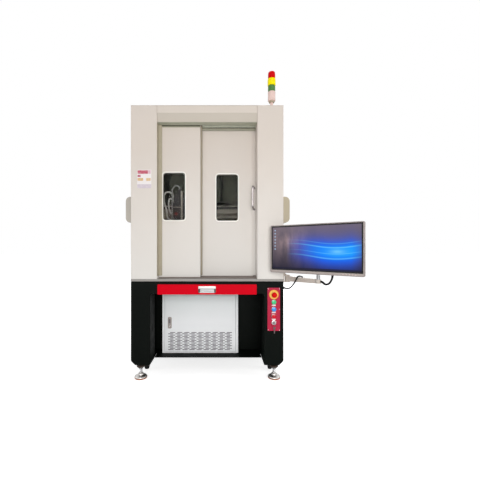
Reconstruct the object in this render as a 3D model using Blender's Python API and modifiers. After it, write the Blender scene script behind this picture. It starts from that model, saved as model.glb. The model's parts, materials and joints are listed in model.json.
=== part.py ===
"""Enclosed fiber laser cutting machine: a cream cabinet on a black welded base.

Metres, Z up, front faces -Y. The model is built from the cabinet's own datum (X from the middle of
the cabinet, Y from its front face, Z from the floor). At the end the root moves it so that the
origin is the middle of the bounding box, at floor level.
"""

import math

import bmesh
import bpy
from mathutils import Matrix, Vector

for old in list(bpy.data.objects):
    bpy.data.objects.remove(old)

# Clearances, and how far shapes run into or past each other
SEAT_GAP = 0.0003
RUNNING_GAP = 0.003
SHAFT_GAP = 0.0003
BITE = 0.001
OVERRUN = 0.01
WELD = 0.00001

# Fineness of round shapes
ARC_STEPS = 3
WIRE_STEPS = 6
SMALL_STEPS = 10
ROUND_STEPS = 16
WHEEL_STEPS = 18
TUBE_RESOLUTION = 2
SMOOTH_ANGLE = math.radians(35)

# Whole machine
CABINET_WIDTH = 1.10
CABINET_DEPTH = 1.15
CABINET_TOP = 1.982
UNDER_FRAME = 0.110
FRAME_TOP = 0.713
BED_PLATE_THICKNESS = 0.017
SHEET = 0.003

# Welded base
LEG_WIDTH = 0.14
LEG_DEPTH = 0.148
BEAM_HEIGHT = 0.090
LEG_CHAMFER = 0.030
PORTAL_RADIUS = 0.020
LEG_EDGE_RADIUS = 0.004
SIDE_RAIL_WIDTH = 0.060
BOTTOM_RAIL_HEIGHT = 0.060
RAIL_REVEAL = 0.005
SKIN_INSET = 0.010
SKIN_THICKNESS = 0.004
CORNER_PLATE_THICKNESS = 0.008
CORNER_PLATE_DEPTH = 0.092
CROSS_MEMBER_Y = 0.360
CROSS_MEMBER_SIZE = 0.040
SLOT_CLEARANCE = 0.004
SWITCH_POCKET_WIDTH = 0.058
SWITCH_POCKET_DEPTH = 0.030
REAR_SLOT_LENGTH = 0.110
REAR_SLOT_HEIGHT = 0.008
REAR_SLOT_PITCH = 0.028
REAR_SLOT_ROWS = 6
REAR_SLOT_COLUMNS = 2
REAR_SLOT_SPACING = 0.200
BASE_VENT_Z = 0.300

# Shelf and back panel of the recess, one folded sheet
SHELF_THICKNESS = 0.006
RECESS_DEPTH = 0.320
LINER_TOP = 0.620

# Levelling feet
FOOT_INSET = 0.060
FOOT_Y = 0.050
FOOT_RADIUS = 0.0455
FOOT_RIM_HEIGHT = 0.012
FOOT_DOME_HEIGHT = 0.034
FOOT_HUB_RADIUS = 0.013
FOOT_STEM_RADIUS = 0.007
FOOT_NUT_RADIUS = 0.0125
FOOT_NUT_HEIGHT = 0.009
FOOT_EDGE = 0.002

# Casters
CASTER_INSET = 0.070
CASTER_Y = 0.167
CASTER_LIFT = 0.006
CASTER_PLATE = 0.080
CASTER_PLATE_THICKNESS = 0.005
CASTER_RACE_RADIUS = 0.026
CASTER_RACE_HEIGHT = 0.010
CASTER_TRAIL = 0.027
WHEEL_RADIUS = 0.0375
WHEEL_WIDTH = 0.028
WHEEL_HUB_RADIUS = 0.011
WHEEL_HUB_WIDTH = 0.031
WHEEL_WEB_RADIUS = 0.026
WHEEL_WEB_THICKNESS = 0.012
WHEEL_EDGE = 0.004
AXLE_RADIUS = 0.004
FORK_THICKNESS = 0.003
FORK_ARM_WIDTH = 0.026
FORK_CROWN_THICKNESS = 0.004
FORK_CLEARANCE = 0.001

# Cabinet shell
PILLAR_WIDTH = 0.189
PILLAR_RADIUS = 0.005
ROOF_THICKNESS = 0.003
HEADER_BAND = 0.052
HEADER_SLOPE_DEPTH = 0.008
HEADER_BOTTOM = 1.861
FOLD_RADIUS = 0.002
VENT_Z = 1.700
CABINET_VENT_ROWS = 8

# Door leaves and their tracks
FIXED_LEAF_FRONT = 0.058
LEAF_THICKNESS = 0.036
LEAF_SPACING = 0.048
FIXED_LEAF_INSET = 0.075
FIXED_LEAF_RIGHT = -0.053
SLIDING_DOOR_LEFT = -0.075
SLIDING_DOOR_INSET = 0.150
BOTTOM_TRACK_THICKNESS = 0.008
HEAD_TRACK_THICKNESS = 0.012
TRACK_LEG = 0.003
BOTTOM_TRACK_LEG_HEIGHT = 0.006
HEAD_TRACK_LEG_HEIGHT = 0.040
TRACK_REAR_MARGIN = 0.005
DOOR_STOP_WIDTH = 0.014
DOOR_STOP_HEIGHT = 0.012
WINDOW_WIDTH = 0.165
WINDOW_HEIGHT = 0.351
WINDOW_RADIUS = 0.021
WINDOW_Z = 1.335
FIXED_WINDOW_INSET = 0.3023
SLIDING_WINDOW_INSET = 0.4042
GLASS_THICKNESS = 0.006
BEAD_WIDTH = 0.007
BEAD_HEIGHT = 0.002

# Door pull: an angled bar on two bosses
PULL_INSET = 0.200
PULL_LOW_Z = 1.245
PULL_HIGH_Z = 1.4045
PULL_RADIUS = 0.006
PULL_STANDOFF = 0.048
PULL_SIDE_OFFSET = 0.0155
PULL_RISE = 0.009
PULL_BOSS_RADIUS = 0.0088
PULL_BOSS_HEIGHT = 0.006

# Side covers
SIDE_COVER_REACH = 0.065
SIDE_COVER_FRONT = 0.090
SIDE_COVER_LENGTH = 0.760
SIDE_COVER_LOW_Z = 1.145
SIDE_COVER_HIGH_Z = 1.339
SIDE_COVER_RADIUS = 0.033
SIDE_COVER_EDGE = 0.010

# Signal tower
TOWER_INSET = 0.075
TOWER_Y = 0.065
TOWER_FLANGE_RADIUS = 0.030
TOWER_FLANGE_HEIGHT = 0.010
TOWER_STEM_RADIUS = 0.011
TOWER_BODY_RADIUS = 0.0275
TOWER_BODY_LOW_Z = 2.040
TOWER_GREEN_LOW_Z = 2.109
TOWER_YELLOW_LOW_Z = 2.155
TOWER_RED_LOW_Z = 2.206
TOWER_TOP_Z = 2.259
TOWER_LENS_RADIUS = 0.0265
TOWER_YELLOW_RADIUS = 0.029
TOWER_COLLAR_EDGE = 0.003
TOWER_DOME_RADIUS = 0.012

# Keyboard drawer
DRAWER_FRONT_INSET = 0.055
DRAWER_FRONT_LOW_Z = 0.621
DRAWER_FRONT_HEIGHT = 0.072
DRAWER_FRONT_THICKNESS = 0.014
DRAWER_FRONT_RADIUS = 0.004
TRAY_INSET = 0.090
TRAY_DEPTH = 0.335
TRAY_HEIGHT = 0.045
TRAY_LOW_Z = 0.634
TRAY_WALL = 0.0025
RUNNER_LEDGE = 0.020
DRAWER_PULL_WIDTH = 0.125
DRAWER_PULL_HEIGHT = 0.048
DRAWER_PULL_RADIUS = 0.006
DRAWER_PULL_FLANGE = 0.005
DRAWER_PULL_LIP = 0.002
DRAWER_PULL_CUP_DEPTH = 0.026
DRAWER_PULL_WALL = 0.0015
DRAWER_PULL_BAR = 0.009

# Control plate on the right leg
PLATE_INSET = 0.071
PLATE_LOW_Z = 0.359
PLATE_HIGH_Z = 0.668
PLATE_WIDTH = 0.090
PLATE_THICKNESS = 0.003
PLATE_RADIUS = 0.004
ESTOP_Z = 0.620
GREEN_BUTTON_Z = 0.566
BLUE_BUTTON_Z = 0.515
RED_BUTTON_Z = 0.464
KEY_SWITCH_Z = 0.418
SWITCH_BORE_RADIUS = 0.0110
SWITCH_BEZEL_RADIUS = 0.0160
SWITCH_BEZEL_HEIGHT = 0.005
BUTTON_PROUD = 0.007
BUTTON_STEM = 0.012
BUTTON_EDGE = 0.0015
ESTOP_COLLAR_RADIUS = 0.035
ESTOP_COLLAR_HEIGHT = 0.004
ESTOP_HEAD_RADIUS = 0.019
ESTOP_HEAD_PROUD = 0.042
ESTOP_HEAD_THICKNESS = 0.016
ESTOP_STEM_RADIUS = 0.0105
ESTOP_EDGE = 0.005
KEY_BLADE_WIDTH = 0.007
KEY_BLADE_THICKNESS = 0.0022
KEY_BLADE_DEPTH = 0.010
KEY_BOW_RADIUS = 0.010
KEY_NECK = 0.008
KEY_HOLE_RADIUS = 0.0045
RING_RADIUS = 0.011
RING_WIRE_RADIUS = 0.0009
SPARE_KEY_LENGTH = 0.040
SPARE_BOW_RADIUS = 0.009

# Cooling unit
COOLER_WIDTH = 0.605
COOLER_LEFT_SHARE = 0.1907
COOLER_FRONT = 0.228
COOLER_DEPTH = 0.520
COOLER_HEIGHT = 0.484
COOLER_STRIP = 0.0175
COOLER_STRIP_DEPTH = 0.020
COOLER_SHEET = 0.003
COOLER_TOP_STRIP = 0.022
COOLER_BOTTOM_STRIP = 0.010
COOLER_DOOR_GAP = 0.0016
COOLER_DOOR_THICKNESS = 0.018
COOLER_DOOR_SHEET = 0.002
COOLER_HINGE_INSET = 0.0045
COOLER_PIN_RADIUS = 0.0025
COOLER_PIN_LENGTH = 0.006
GRILLE_INSET = 0.047
GRILLE_LOW_Z = 0.1435
GRILLE_COLUMNS = 9
GRILLE_ROWS = 14
GRILLE_PERIOD = 0.0565
GRILLE_SLOT_LENGTH = 0.041
GRILLE_SLOT_HEIGHT = 0.0055
GRILLE_ROW_PITCH = 0.0105
GRILLE_STAGGER = 0.015
LOCK_INSET = 0.0605
LOCK_LOW_Z = 0.315
LOCK_HIGH_Z = 0.402
LOCK_WIDTH = 0.031
LOCK_FRAME_HEIGHT = 0.004
LOCK_BORDER = 0.004
LOCK_CORNER_SHARE = 0.6
LOCK_LEVER_THICKNESS = 0.006
LOCK_PIVOT_RADIUS = 0.004
LOCK_LEVER_EDGE = 0.0015
RADIATOR_GAP = 0.045
RADIATOR_THICKNESS = 0.035
RADIATOR_MARGIN = 0.030
FAN_RADIUS = 0.115
FAN_HUB_RADIUS = 0.030
FAN_SPOKE = 0.016

# Cutting bed inside the cabinet
BED_SIDE_SPACE = 0.130
BED_FRONT = 0.300
BED_REAR_SPACE = 0.090
BED_SLAB_HEIGHT = 0.070
BED_WALL_WIDTH = 0.060
BED_WALL_HEIGHT = 0.440
BED_RAIL_WIDTH = 0.020
BED_RAIL_HEIGHT = 0.014
TABLE_SIDE_SPACE = 0.080
TABLE_END_SPACE = 0.040
TABLE_HEIGHT = 0.150
TABLE_RIM = 0.030
TABLE_SLATS = 11
SLAT_THICKNESS = 0.004
SLAT_HEIGHT = 0.035
TABLE_FOOT = 0.050

# Gantry, carriage and laser head
GANTRY_Y = 0.560
GANTRY_DEPTH = 0.100
GANTRY_HEIGHT = 0.110
GANTRY_BLOCK_WIDTH = 0.056
GANTRY_BLOCK_HEIGHT = 0.028
GANTRY_RAIL_WIDTH = 0.015
GANTRY_RAIL_HEIGHT = 0.010
CARRIAGE_INSET = 0.290
CARRIAGE_WIDTH = 0.130
CARRIAGE_THICKNESS = 0.018
CARRIAGE_ABOVE = 0.080
HEAD_RAIL_WIDTH = 0.030
HEAD_RAIL_DEPTH = 0.012
HEAD_WIDTH = 0.090
HEAD_DEPTH = 0.080
HEAD_BODY_HEIGHT = 0.210
HEAD_BODY_LOW_Z = 1.200
HEAD_EDGE = 0.006
HEAD_BARREL_RADIUS = 0.022
HEAD_NOZZLE_RADIUS = 0.004
HEAD_NOZZLE_LENGTH = 0.030
HEAD_CUT_HEIGHT = 0.045
HEAD_FIBRE_RADIUS = 0.016
HEAD_FIBRE_HEIGHT = 0.050
HOSE_RADIUS = 0.006

# Monitor arm and its bracket
ARM_PIN_REACH = 0.035
ARM_PIN_Y = 0.030
ARM_TOP_Z = 0.750
ARM_ROOT_HEIGHT = 0.037
ARM_TIP_HEIGHT = 0.026
ARM_WIDTH = 0.028
ARM_ROOT_RADIUS = 0.020
ARM_TIP_RADIUS = 0.019
ARM_PIN_RADIUS = 0.007
ARM_PIN_HEAD_RADIUS = 0.011
ARM_PIN_HEAD_HEIGHT = 0.004
LUG_THICKNESS = 0.006
LUG_RADIUS = 0.018
BRACKET_THICKNESS = 0.006
BRACKET_DEPTH = 0.080
BRACKET_HEIGHT = 0.078
GUSSET_THICKNESS = 0.006
POST_REACH = 0.147
POST_Y = -0.2055
POST_RADIUS = 0.0115
POST_TOP_Z = 0.990
POST_COLLAR_RADIUS = 0.015
POST_COLLAR_HEIGHT = 0.012

# Monitor, in its own frame: X along the screen, Y through it, origin on the post
MONITOR_YAW = math.radians(-37.3)
MONITOR_WIDTH = 0.606
MONITOR_OFFSET = -0.018
MONITOR_LOW_Z = 0.785
MONITOR_HEIGHT = 0.325
MONITOR_FRONT = -0.045
MONITOR_THICKNESS = 0.024
MONITOR_RADIUS = 0.007
BEZEL_SIDE = 0.014
BEZEL_TOP = 0.012
BEZEL_BOTTOM = 0.025
SCREEN_RECESS = 0.003
SCREEN_THICKNESS = 0.002
MOUNT_PLATE = 0.120
MOUNT_PLATE_THICKNESS = 0.006
SLEEVE_RADIUS = 0.0175
SLEEVE_LOW_Z = 0.910
SLEEVE_HEIGHT = 0.070
SOCKET_X = 0.094
SOCKET_WIDTH = 0.024
SOCKET_DEPTH = 0.018
SOCKET_LOW_Z = 0.800
SOCKET_HEIGHT = 0.030

# Cables: radii, and the points of their routes, seen in the photograph
ARM_CABLE_RADIUS = 0.0035
GLAND_RADIUS = 0.007
GLAND_REACH = 0.008
GLAND_Y = 0.048
GLAND_Z = 0.661
MONITOR_CABLE_RADIUS = 0.006
CABLE_POINT_SPACING = 0.014
ARM_CABLE_ROUTE = [
    (0.0084, 0.0480, 0.6610), (0.0190, 0.0480, 0.6610), (0.0280, 0.0300, 0.6570), (0.0380, -0.0050, 0.6630),
    (0.0500, -0.0350, 0.6810), (0.0630, -0.0600, 0.7100), (0.0724, -0.0705, 0.7350),
    (0.0800, -0.0775, 0.7565), (0.0944, -0.0803, 0.7610), (0.1118, -0.0930, 0.7545),
]
MONITOR_CABLE_ROUTE = [
    (0.0118, -0.0157, 0.7370), (0.0184, -0.0245, 0.7370), (0.0300, -0.0375, 0.7200),
    (0.0510, -0.0515, 0.7260), (0.0655, -0.0630, 0.7570), (0.0681, -0.0657, 0.7850),
    (0.0681, -0.0657, 0.7997),
]

# Values that follow from the sizes above
HALF_WIDTH = CABINET_WIDTH / 2
BED_TOP = FRAME_TOP + SEAT_GAP + BED_PLATE_THICKNESS
SHELL_BOTTOM = BED_TOP + SEAT_GAP
SHELL_TOP = CABINET_TOP - ROOF_THICKNESS - SEAT_GAP
BEAM_BOTTOM = FRAME_TOP - BEAM_HEIGHT
LEG_INNER = HALF_WIDTH - LEG_WIDTH
PILLAR_INNER = HALF_WIDTH - PILLAR_WIDTH
FOOT_X = HALF_WIDTH - FOOT_INSET
CASTER_X = HALF_WIDTH - CASTER_INSET
FIXED_LEAF_LEFT = FIXED_LEAF_INSET - HALF_WIDTH
SLIDING_DOOR_RIGHT = HALF_WIDTH - SLIDING_DOOR_INSET
FIXED_WINDOW_X = FIXED_WINDOW_INSET - HALF_WIDTH
SLIDING_WINDOW_X = HALF_WIDTH - SLIDING_WINDOW_INSET
PULL_X = HALF_WIDTH - PULL_INSET
TOWER_X = HALF_WIDTH - TOWER_INSET
PLATE_X = HALF_WIDTH - PLATE_INSET
COOLER_LEFT = COOLER_LEFT_SHARE * (2 * LEG_INNER - COOLER_WIDTH) - LEG_INNER
COOLER_RIGHT = COOLER_LEFT + COOLER_WIDTH
GRILLE_LEFT = COOLER_LEFT + GRILLE_INSET
LOCK_X = COOLER_LEFT + LOCK_INSET
CARRIAGE_X = CARRIAGE_INSET - HALF_WIDTH
DRAWER_FRONT_WIDTH = 2 * (LEG_INNER - DRAWER_FRONT_INSET)
TRAY_WIDTH = 2 * (LEG_INNER - TRAY_INSET)
BED_WIDTH = 2 * (HALF_WIDTH - BED_SIDE_SPACE)
BED_LENGTH = CABINET_DEPTH - BED_FRONT - BED_REAR_SPACE
TABLE_WIDTH = BED_WIDTH - 2 * TABLE_SIDE_SPACE
TABLE_LENGTH = BED_LENGTH - 2 * TABLE_END_SPACE
ARM_PIN_X = HALF_WIDTH + ARM_PIN_REACH
POST_X = ARM_PIN_X + POST_REACH
SLIDING_DOOR_FRONT = FIXED_LEAF_FRONT + LEAF_SPACING
TRACK_REAR = SLIDING_DOOR_FRONT + LEAF_THICKNESS + TRACK_REAR_MARGIN + TRACK_LEG
LEAF_BOTTOM = SHELL_BOTTOM + BOTTOM_TRACK_THICKNESS + SEAT_GAP
LEAF_TOP = SHELL_TOP - HEAD_TRACK_THICKNESS - SEAT_GAP
HEADER_DEPTH = FIXED_LEAF_FRONT - SEAT_GAP
SHELF_TOP = UNDER_FRAME + SHELF_THICKNESS
COOLER_BOTTOM = SHELF_TOP + SEAT_GAP
COOLER_TOP = COOLER_BOTTOM + COOLER_HEIGHT
TURN_TO_FRONT = Matrix.Rotation(math.pi / 2, 4, "X")
TURN_TO_SIDE = Matrix.Rotation(math.pi / 2, 4, "Y")
PLANES = {
    "XY": Matrix(((1, 0, 0), (0, 1, 0), (0, 0, 1))),
    "XZ": Matrix(((1, 0, 0), (0, 0, -1), (0, 1, 0))),
    "YZ": Matrix(((0, 0, 1), (1, 0, 0), (0, 1, 0))),
}
NORMALS = {"XY": Vector((0, 0, 1)), "XZ": Vector((0, 1, 0)), "YZ": Vector((1, 0, 0))}


def new_collection(name):
    made = bpy.data.collections.new(name)
    bpy.context.scene.collection.children.link(made)
    return made


PARTS = new_collection("fiber_laser_cutting_machine")
CUTTERS = new_collection("cutters")
CUTTERS.hide_render = True


def empty(name, location=(0, 0, 0), parent=None, turn=0):
    """A frame that pieces hang from: its Z turn and place are relative to the parent."""
    made = bpy.data.objects.new(name, None)
    PARTS.objects.link(made)
    made.parent = parent
    made.location = location
    made.rotation_euler.z = turn
    return made


ROOT = empty("machine_origin")


def finish(name, colour, roughness, metallic=0.0):
    """A Principled material, from an sRGB colour written as 0 to 255."""
    made = bpy.data.materials.new(name)
    made.use_nodes = True
    surface = made.node_tree.nodes["Principled BSDF"]
    linear = [(c / 255) ** 2.2 for c in colour]
    surface.inputs["Base Color"].default_value = (*linear, 1)
    surface.inputs["Roughness"].default_value = roughness
    surface.inputs["Metallic"].default_value = metallic
    return made


CREAM = finish("cream_paint", (223, 216, 208), 0.45)
BLACK_PAINT = finish("black_paint", (22, 25, 22), 0.45)
BED_PAINT = finish("pale_grey_paint", (214, 212, 208), 0.4)
BEIGE = finish("beige_paint", (184, 172, 148), 0.5)
COOLER_PAINT = finish("white_paint", (222, 224, 226), 0.4)
RED_PAINT = finish("red_paint", (215, 0, 30), 0.35)
CRIMSON = finish("crimson_paint", (205, 50, 85), 0.4)
CHROME = finish("chrome", (225, 225, 225), 0.12, 1.0)
STEEL = finish("steel", (150, 150, 150), 0.35, 1.0)
ALUMINIUM = finish("aluminium", (190, 192, 195), 0.35, 1.0)
DARK_METAL = finish("dark_metal", (50, 50, 50), 0.4, 0.6)
BLACK_RUBBER = finish("black_rubber", (20, 20, 20), 0.7)
TINTED_GLASS = finish("tinted_glass", (30, 32, 34), 0.08)
WHITE_PLASTIC = finish("white_plastic", (235, 228, 226), 0.4)
GREEN_LENS = finish("green_lens", (60, 130, 60), 0.2)
YELLOW_LENS = finish("yellow_lens", (255, 235, 20), 0.2)
RED_LENS = finish("red_lens", (215, 20, 35), 0.2)
BLUE_PLASTIC = finish("blue_plastic", (30, 90, 190), 0.3)
SILVER_PLASTIC = finish("silver_plastic", (170, 165, 160), 0.35)
SCREEN_GLASS = finish("screen_glass", (32, 28, 70), 0.1)


def place(obj, surface, parent):
    PARTS.objects.link(obj)
    obj.parent = parent or ROOT
    obj.data.materials.append(surface or BLACK_PAINT)
    return obj


def object_from(bm, name, surface, parent):
    """A mesh object from a bmesh, with its faces turned outwards."""
    bmesh.ops.recalc_face_normals(bm, faces=bm.faces)
    mesh = bpy.data.meshes.new(name)
    bm.to_mesh(mesh)
    bm.free()
    return place(bpy.data.objects.new(name, mesh), surface, parent)


def block(name, low, high, surface=None, parent=None):
    """A box from its low corner to its high corner."""
    bm = bmesh.new()
    size = Vector(high) - Vector(low)
    middle = (Vector(high) + Vector(low)) / 2
    bmesh.ops.create_cube(bm, size=1, matrix=Matrix.Translation(middle) @ Matrix.Diagonal((*size, 1)))
    return object_from(bm, name, surface, parent)


def rod(name, start, end, radius, surface=None, parent=None, steps=SMALL_STEPS):
    """A round bar between two points."""
    start, end = Vector(start), Vector(end)
    along = end - start
    turn = Vector((0, 0, 1)).rotation_difference(along).to_matrix().to_4x4()
    bm = bmesh.new()
    bmesh.ops.create_cone(
        bm, cap_ends=True, segments=steps, radius1=radius, radius2=radius, depth=along.length,
        matrix=Matrix.Translation((start + end) / 2) @ turn,
    )
    made = object_from(bm, name, surface, parent)
    made.data.set_sharp_from_angle(angle=SMOOTH_ANGLE)
    made.data.shade_smooth()
    return made


def bore_radius(shaft, steps):
    """The radius of a many-sided bore whose flats clear a shaft that turns in it."""
    return (shaft + SHAFT_GAP) / math.cos(math.pi / steps)


def arc(centre, radius, start, end, steps=ARC_STEPS):
    """Points round a centre, from one angle to the other in degrees, both ends included."""
    angles = [math.radians(start + (end - start) * i / steps) for i in range(steps + 1)]
    return [(centre[0] + radius * math.cos(a), centre[1] + radius * math.sin(a)) for a in angles]


def rounded_rectangle(low, high, radius, steps=ARC_STEPS):
    """The outline of a rectangle with round corners, anticlockwise."""
    left, bottom = low[0] + radius, low[1] + radius
    right, top = high[0] - radius, high[1] - radius
    return (
        arc((right, bottom), radius, -90, 0, steps) + arc((right, top), radius, 0, 90, steps)
        + arc((left, top), radius, 90, 180, steps) + arc((left, bottom), radius, 180, 270, steps)
    )


def mirrored(half):
    """A closed outline from its right half, whose ends lie nearest the mirror line."""
    return half + [(-x, y) for x, y in reversed(half)]


def extrude(name, outlines, plane, low, high, surface=None, parent=None):
    """A solid from flat outlines in a plane (inner outlines are holes), from low to high across it."""
    curve = bpy.data.curves.new(name, "CURVE")
    curve.dimensions = "2D"
    curve.fill_mode = "BOTH"
    curve.extrude = (high - low) / 2
    for outline in outlines:
        spline = curve.splines.new("POLY")
        spline.points.add(len(outline) - 1)
        for point, (u, v) in zip(spline.points, outline):
            point.co = (u, v, 0, 1)
        spline.use_cyclic_u = True
    flat = bpy.data.objects.new(name + "_outline", curve)
    PARTS.objects.link(flat)
    graph = bpy.context.evaluated_depsgraph_get()
    mesh = bpy.data.meshes.new_from_object(flat.evaluated_get(graph), depsgraph=graph)
    bpy.data.objects.remove(flat)
    bpy.data.curves.remove(curve)
    bm = bmesh.new()
    bm.from_mesh(mesh)
    bpy.data.meshes.remove(mesh)
    bmesh.ops.remove_doubles(bm, verts=bm.verts, dist=WELD)
    turn = Matrix.Translation(NORMALS[plane] * (low + high) / 2) @ PLANES[plane].to_4x4()
    bmesh.ops.transform(bm, matrix=turn, verts=bm.verts)
    made = object_from(bm, name, surface, parent)
    made.data.set_sharp_from_angle(angle=SMOOTH_ANGLE)
    made.data.shade_smooth()
    return made


def turned(name, profile, place_at, turn=None, surface=None, parent=None, steps=ROUND_STEPS, ring=False):
    """A turned solid about Z from its (radius, height) profile, then turned and set at a place.

    The profile runs down the outer side, top to bottom. A ring's profile closes on itself.
    """
    bm = bmesh.new()
    points = [bm.verts.new((radius, 0, height)) for radius, height in profile]
    for first, second in zip(points, points[1:]):
        bm.edges.new((first, second))
    if ring:
        bm.edges.new((points[-1], points[0]))
    mesh = bpy.data.meshes.new(name)
    bm.to_mesh(mesh)
    bm.free()
    made = place(bpy.data.objects.new(name, mesh), surface, parent)
    made.matrix_local = Matrix.Translation(place_at) @ (turn or Matrix.Identity(4))
    screw = made.modifiers.new("turn", "SCREW")
    screw.steps = screw.render_steps = steps
    screw.use_merge_vertices = True
    screw.merge_threshold = WELD
    return made


def tube(name, points, radius, surface, parent=None):
    """A round tube along points."""
    curve = bpy.data.curves.new(name, "CURVE")
    curve.dimensions = "3D"
    curve.bevel_depth = radius
    curve.bevel_resolution = TUBE_RESOLUTION
    curve.use_fill_caps = True
    spline = curve.splines.new("POLY")
    spline.points.add(len(points) - 1)
    for point, co in zip(spline.points, points):
        point.co = (*co, 1)
    return place(bpy.data.objects.new(name, curve), surface, parent)


def tube_mesh(name, points, radius, surface=None, parent=None):
    """The same tube as a closed mesh, which a Boolean can use."""
    curve_object = tube(name + "_route", points, radius, surface, parent)
    graph = bpy.context.evaluated_depsgraph_get()
    mesh = bpy.data.meshes.new_from_object(curve_object.evaluated_get(graph), depsgraph=graph)
    curve = curve_object.data
    bpy.data.objects.remove(curve_object)
    bpy.data.curves.remove(curve)
    bm = bmesh.new()
    bm.from_mesh(mesh)
    bpy.data.meshes.remove(mesh)
    bmesh.ops.remove_doubles(bm, verts=bm.verts, dist=WELD)
    return object_from(bm, name, surface, parent)


def smooth_route(points, spacing):
    """Points a spacing apart along a Catmull-Rom curve through the route's own points."""
    knots = [Vector(p) for p in points]
    knots = [2 * knots[0] - knots[1], *knots, 2 * knots[-1] - knots[-2]]
    route = []
    for a, b, c, d in zip(knots, knots[1:], knots[2:], knots[3:]):
        steps = max(1, round((c - b).length / spacing))
        for i in range(steps):
            t = i / steps
            route.append(
                0.5 * (2 * b + (c - a) * t + (2 * a - 5 * b + 4 * c - d) * t**2
                       + (3 * b - a - 3 * c + d) * t**3)
            )
    return [*route, knots[-2]]


def as_cutter(obj):
    PARTS.objects.unlink(obj)
    CUTTERS.objects.link(obj)
    obj.hide_render = True
    obj.display_type = "WIRE"


def boolean(obj, operation, others, solver):
    for other in others:
        modifier = obj.modifiers.new(operation.lower(), "BOOLEAN")
        modifier.operation = operation
        modifier.solver = solver
        modifier.object = other
        as_cutter(other)
    return obj


def join(obj, *others, solver="EXACT"):
    return boolean(obj, "UNION", others, solver)


def cut(obj, *others, solver="EXACT"):
    return boolean(obj, "DIFFERENCE", others, solver)


def soften(obj, width, segments=1):
    """Rounds the sharp edges of a piece."""
    bevel = obj.modifiers.new("edges", "BEVEL")
    bevel.width = width
    bevel.segments = segments
    bevel.limit_method = "ANGLE"
    return obj


def slot_pattern(name, places, size, plane_y, depth, parent=None):
    """One cutter that holds a box for each slot of a pattern on a wall that faces Y."""
    bm = bmesh.new()
    for x, z in places:
        middle = Matrix.Translation((x, plane_y, z))
        bmesh.ops.create_cube(bm, size=1, matrix=middle @ Matrix.Diagonal((size[0], depth, size[1], 1)))
    return object_from(bm, name, None, parent)


def louvre_places(middle_z, rows):
    """Slot centres of the vents in a rear wall."""
    first_x = -REAR_SLOT_SPACING * (REAR_SLOT_COLUMNS - 1) / 2
    first_z = middle_z - REAR_SLOT_PITCH * (rows - 1) / 2
    return [
        (first_x + REAR_SLOT_SPACING * column, first_z + REAR_SLOT_PITCH * row)
        for column in range(REAR_SLOT_COLUMNS) for row in range(rows)
    ]


# Base

def portal_outline():
    """Half of an end frame: two legs and the beam over them, seen from the front."""
    return mirrored(
        arc((LEG_INNER - PORTAL_RADIUS, BEAM_BOTTOM - PORTAL_RADIUS), PORTAL_RADIUS, 90, 0)
        + [
            (LEG_INNER, UNDER_FRAME), (HALF_WIDTH - LEG_CHAMFER, UNDER_FRAME),
            (HALF_WIDTH, UNDER_FRAME + LEG_CHAMFER), (HALF_WIDTH, FRAME_TOP),
        ]
    )


def side_frame(side):
    """Top rail, bottom rail, inset skin and caster plates of one side, as pieces to join."""
    front = LEG_DEPTH - LEG_EDGE_RADIUS - BITE
    rear = CABINET_DEPTH - front
    inner = HALF_WIDTH - SIDE_RAIL_WIDTH
    rail_end = HALF_WIDTH - RAIL_REVEAL
    skin = HALF_WIDTH - SKIN_INSET
    rail_low = UNDER_FRAME + RAIL_REVEAL
    plate_low = rail_low + BITE

    def bar(name, x_low, x_high, y_low, y_high, z_low, z_high):
        ends = sorted((side * x_low, side * x_high))
        return block(name, (ends[0], y_low, z_low), (ends[1], y_high, z_high))

    pieces = [
        bar("top_rail", inner, rail_end, front, rear, BEAM_BOTTOM + RAIL_REVEAL, FRAME_TOP - RAIL_REVEAL),
        bar("bottom_rail", inner, rail_end, front, rear, rail_low, rail_low + BOTTOM_RAIL_HEIGHT),
        bar("side_skin", skin - SKIN_THICKNESS, skin, front - BITE, rear + BITE,
            rail_low + BOTTOM_RAIL_HEIGHT - BITE, BEAM_BOTTOM + RAIL_REVEAL + BITE),
    ]
    plate_end = LEG_DEPTH + CORNER_PLATE_DEPTH
    lap = 2 * BITE
    for low, high in ((front - lap, plate_end), (CABINET_DEPTH - plate_end, rear + lap)):
        pieces.append(bar("corner_plate", LEG_INNER + SEAT_GAP, inner + BITE, low, high,
                          plate_low, plate_low + CORNER_PLATE_THICKNESS))
    for y in (CASTER_Y, CABINET_DEPTH - CASTER_Y):
        x = side * CASTER_X
        reach = CASTER_PLATE / 2
        low_z = UNDER_FRAME - CASTER_PLATE_THICKNESS
        pieces.append(block("caster_plate", (x - reach, y - reach, low_z),
                            (x + reach, y + reach, plate_low + BITE)))
        pieces.append(rod("caster_race", (x, y, low_z - CASTER_RACE_HEIGHT), (x, y, low_z + BITE),
                          CASTER_RACE_RADIUS, steps=ROUND_STEPS))
    return pieces


def drawer_runner(side):
    """An angle bar from the front beam to the cross member, with a ledge under the tray."""
    web = TRAY_WIDTH / 2 + SLOT_CLEARANCE - BITE
    ledge_top = TRAY_LOW_Z - SEAT_GAP
    web_top = TRAY_LOW_Z + TRAY_HEIGHT + SLOT_CLEARANCE / 2
    outline = [
        (web - RUNNER_LEDGE, ledge_top - SHEET), (web + SHEET, ledge_top - SHEET), (web + SHEET, web_top),
        (web, web_top), (web, ledge_top), (web - RUNNER_LEDGE, ledge_top),
    ]
    outline = [(side * x, z) for x, z in outline]
    return extrude("runner", [outline], "XZ", LEG_DEPTH - LEG_EDGE_RADIUS - BITE, CROSS_MEMBER_Y + BITE)


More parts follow.
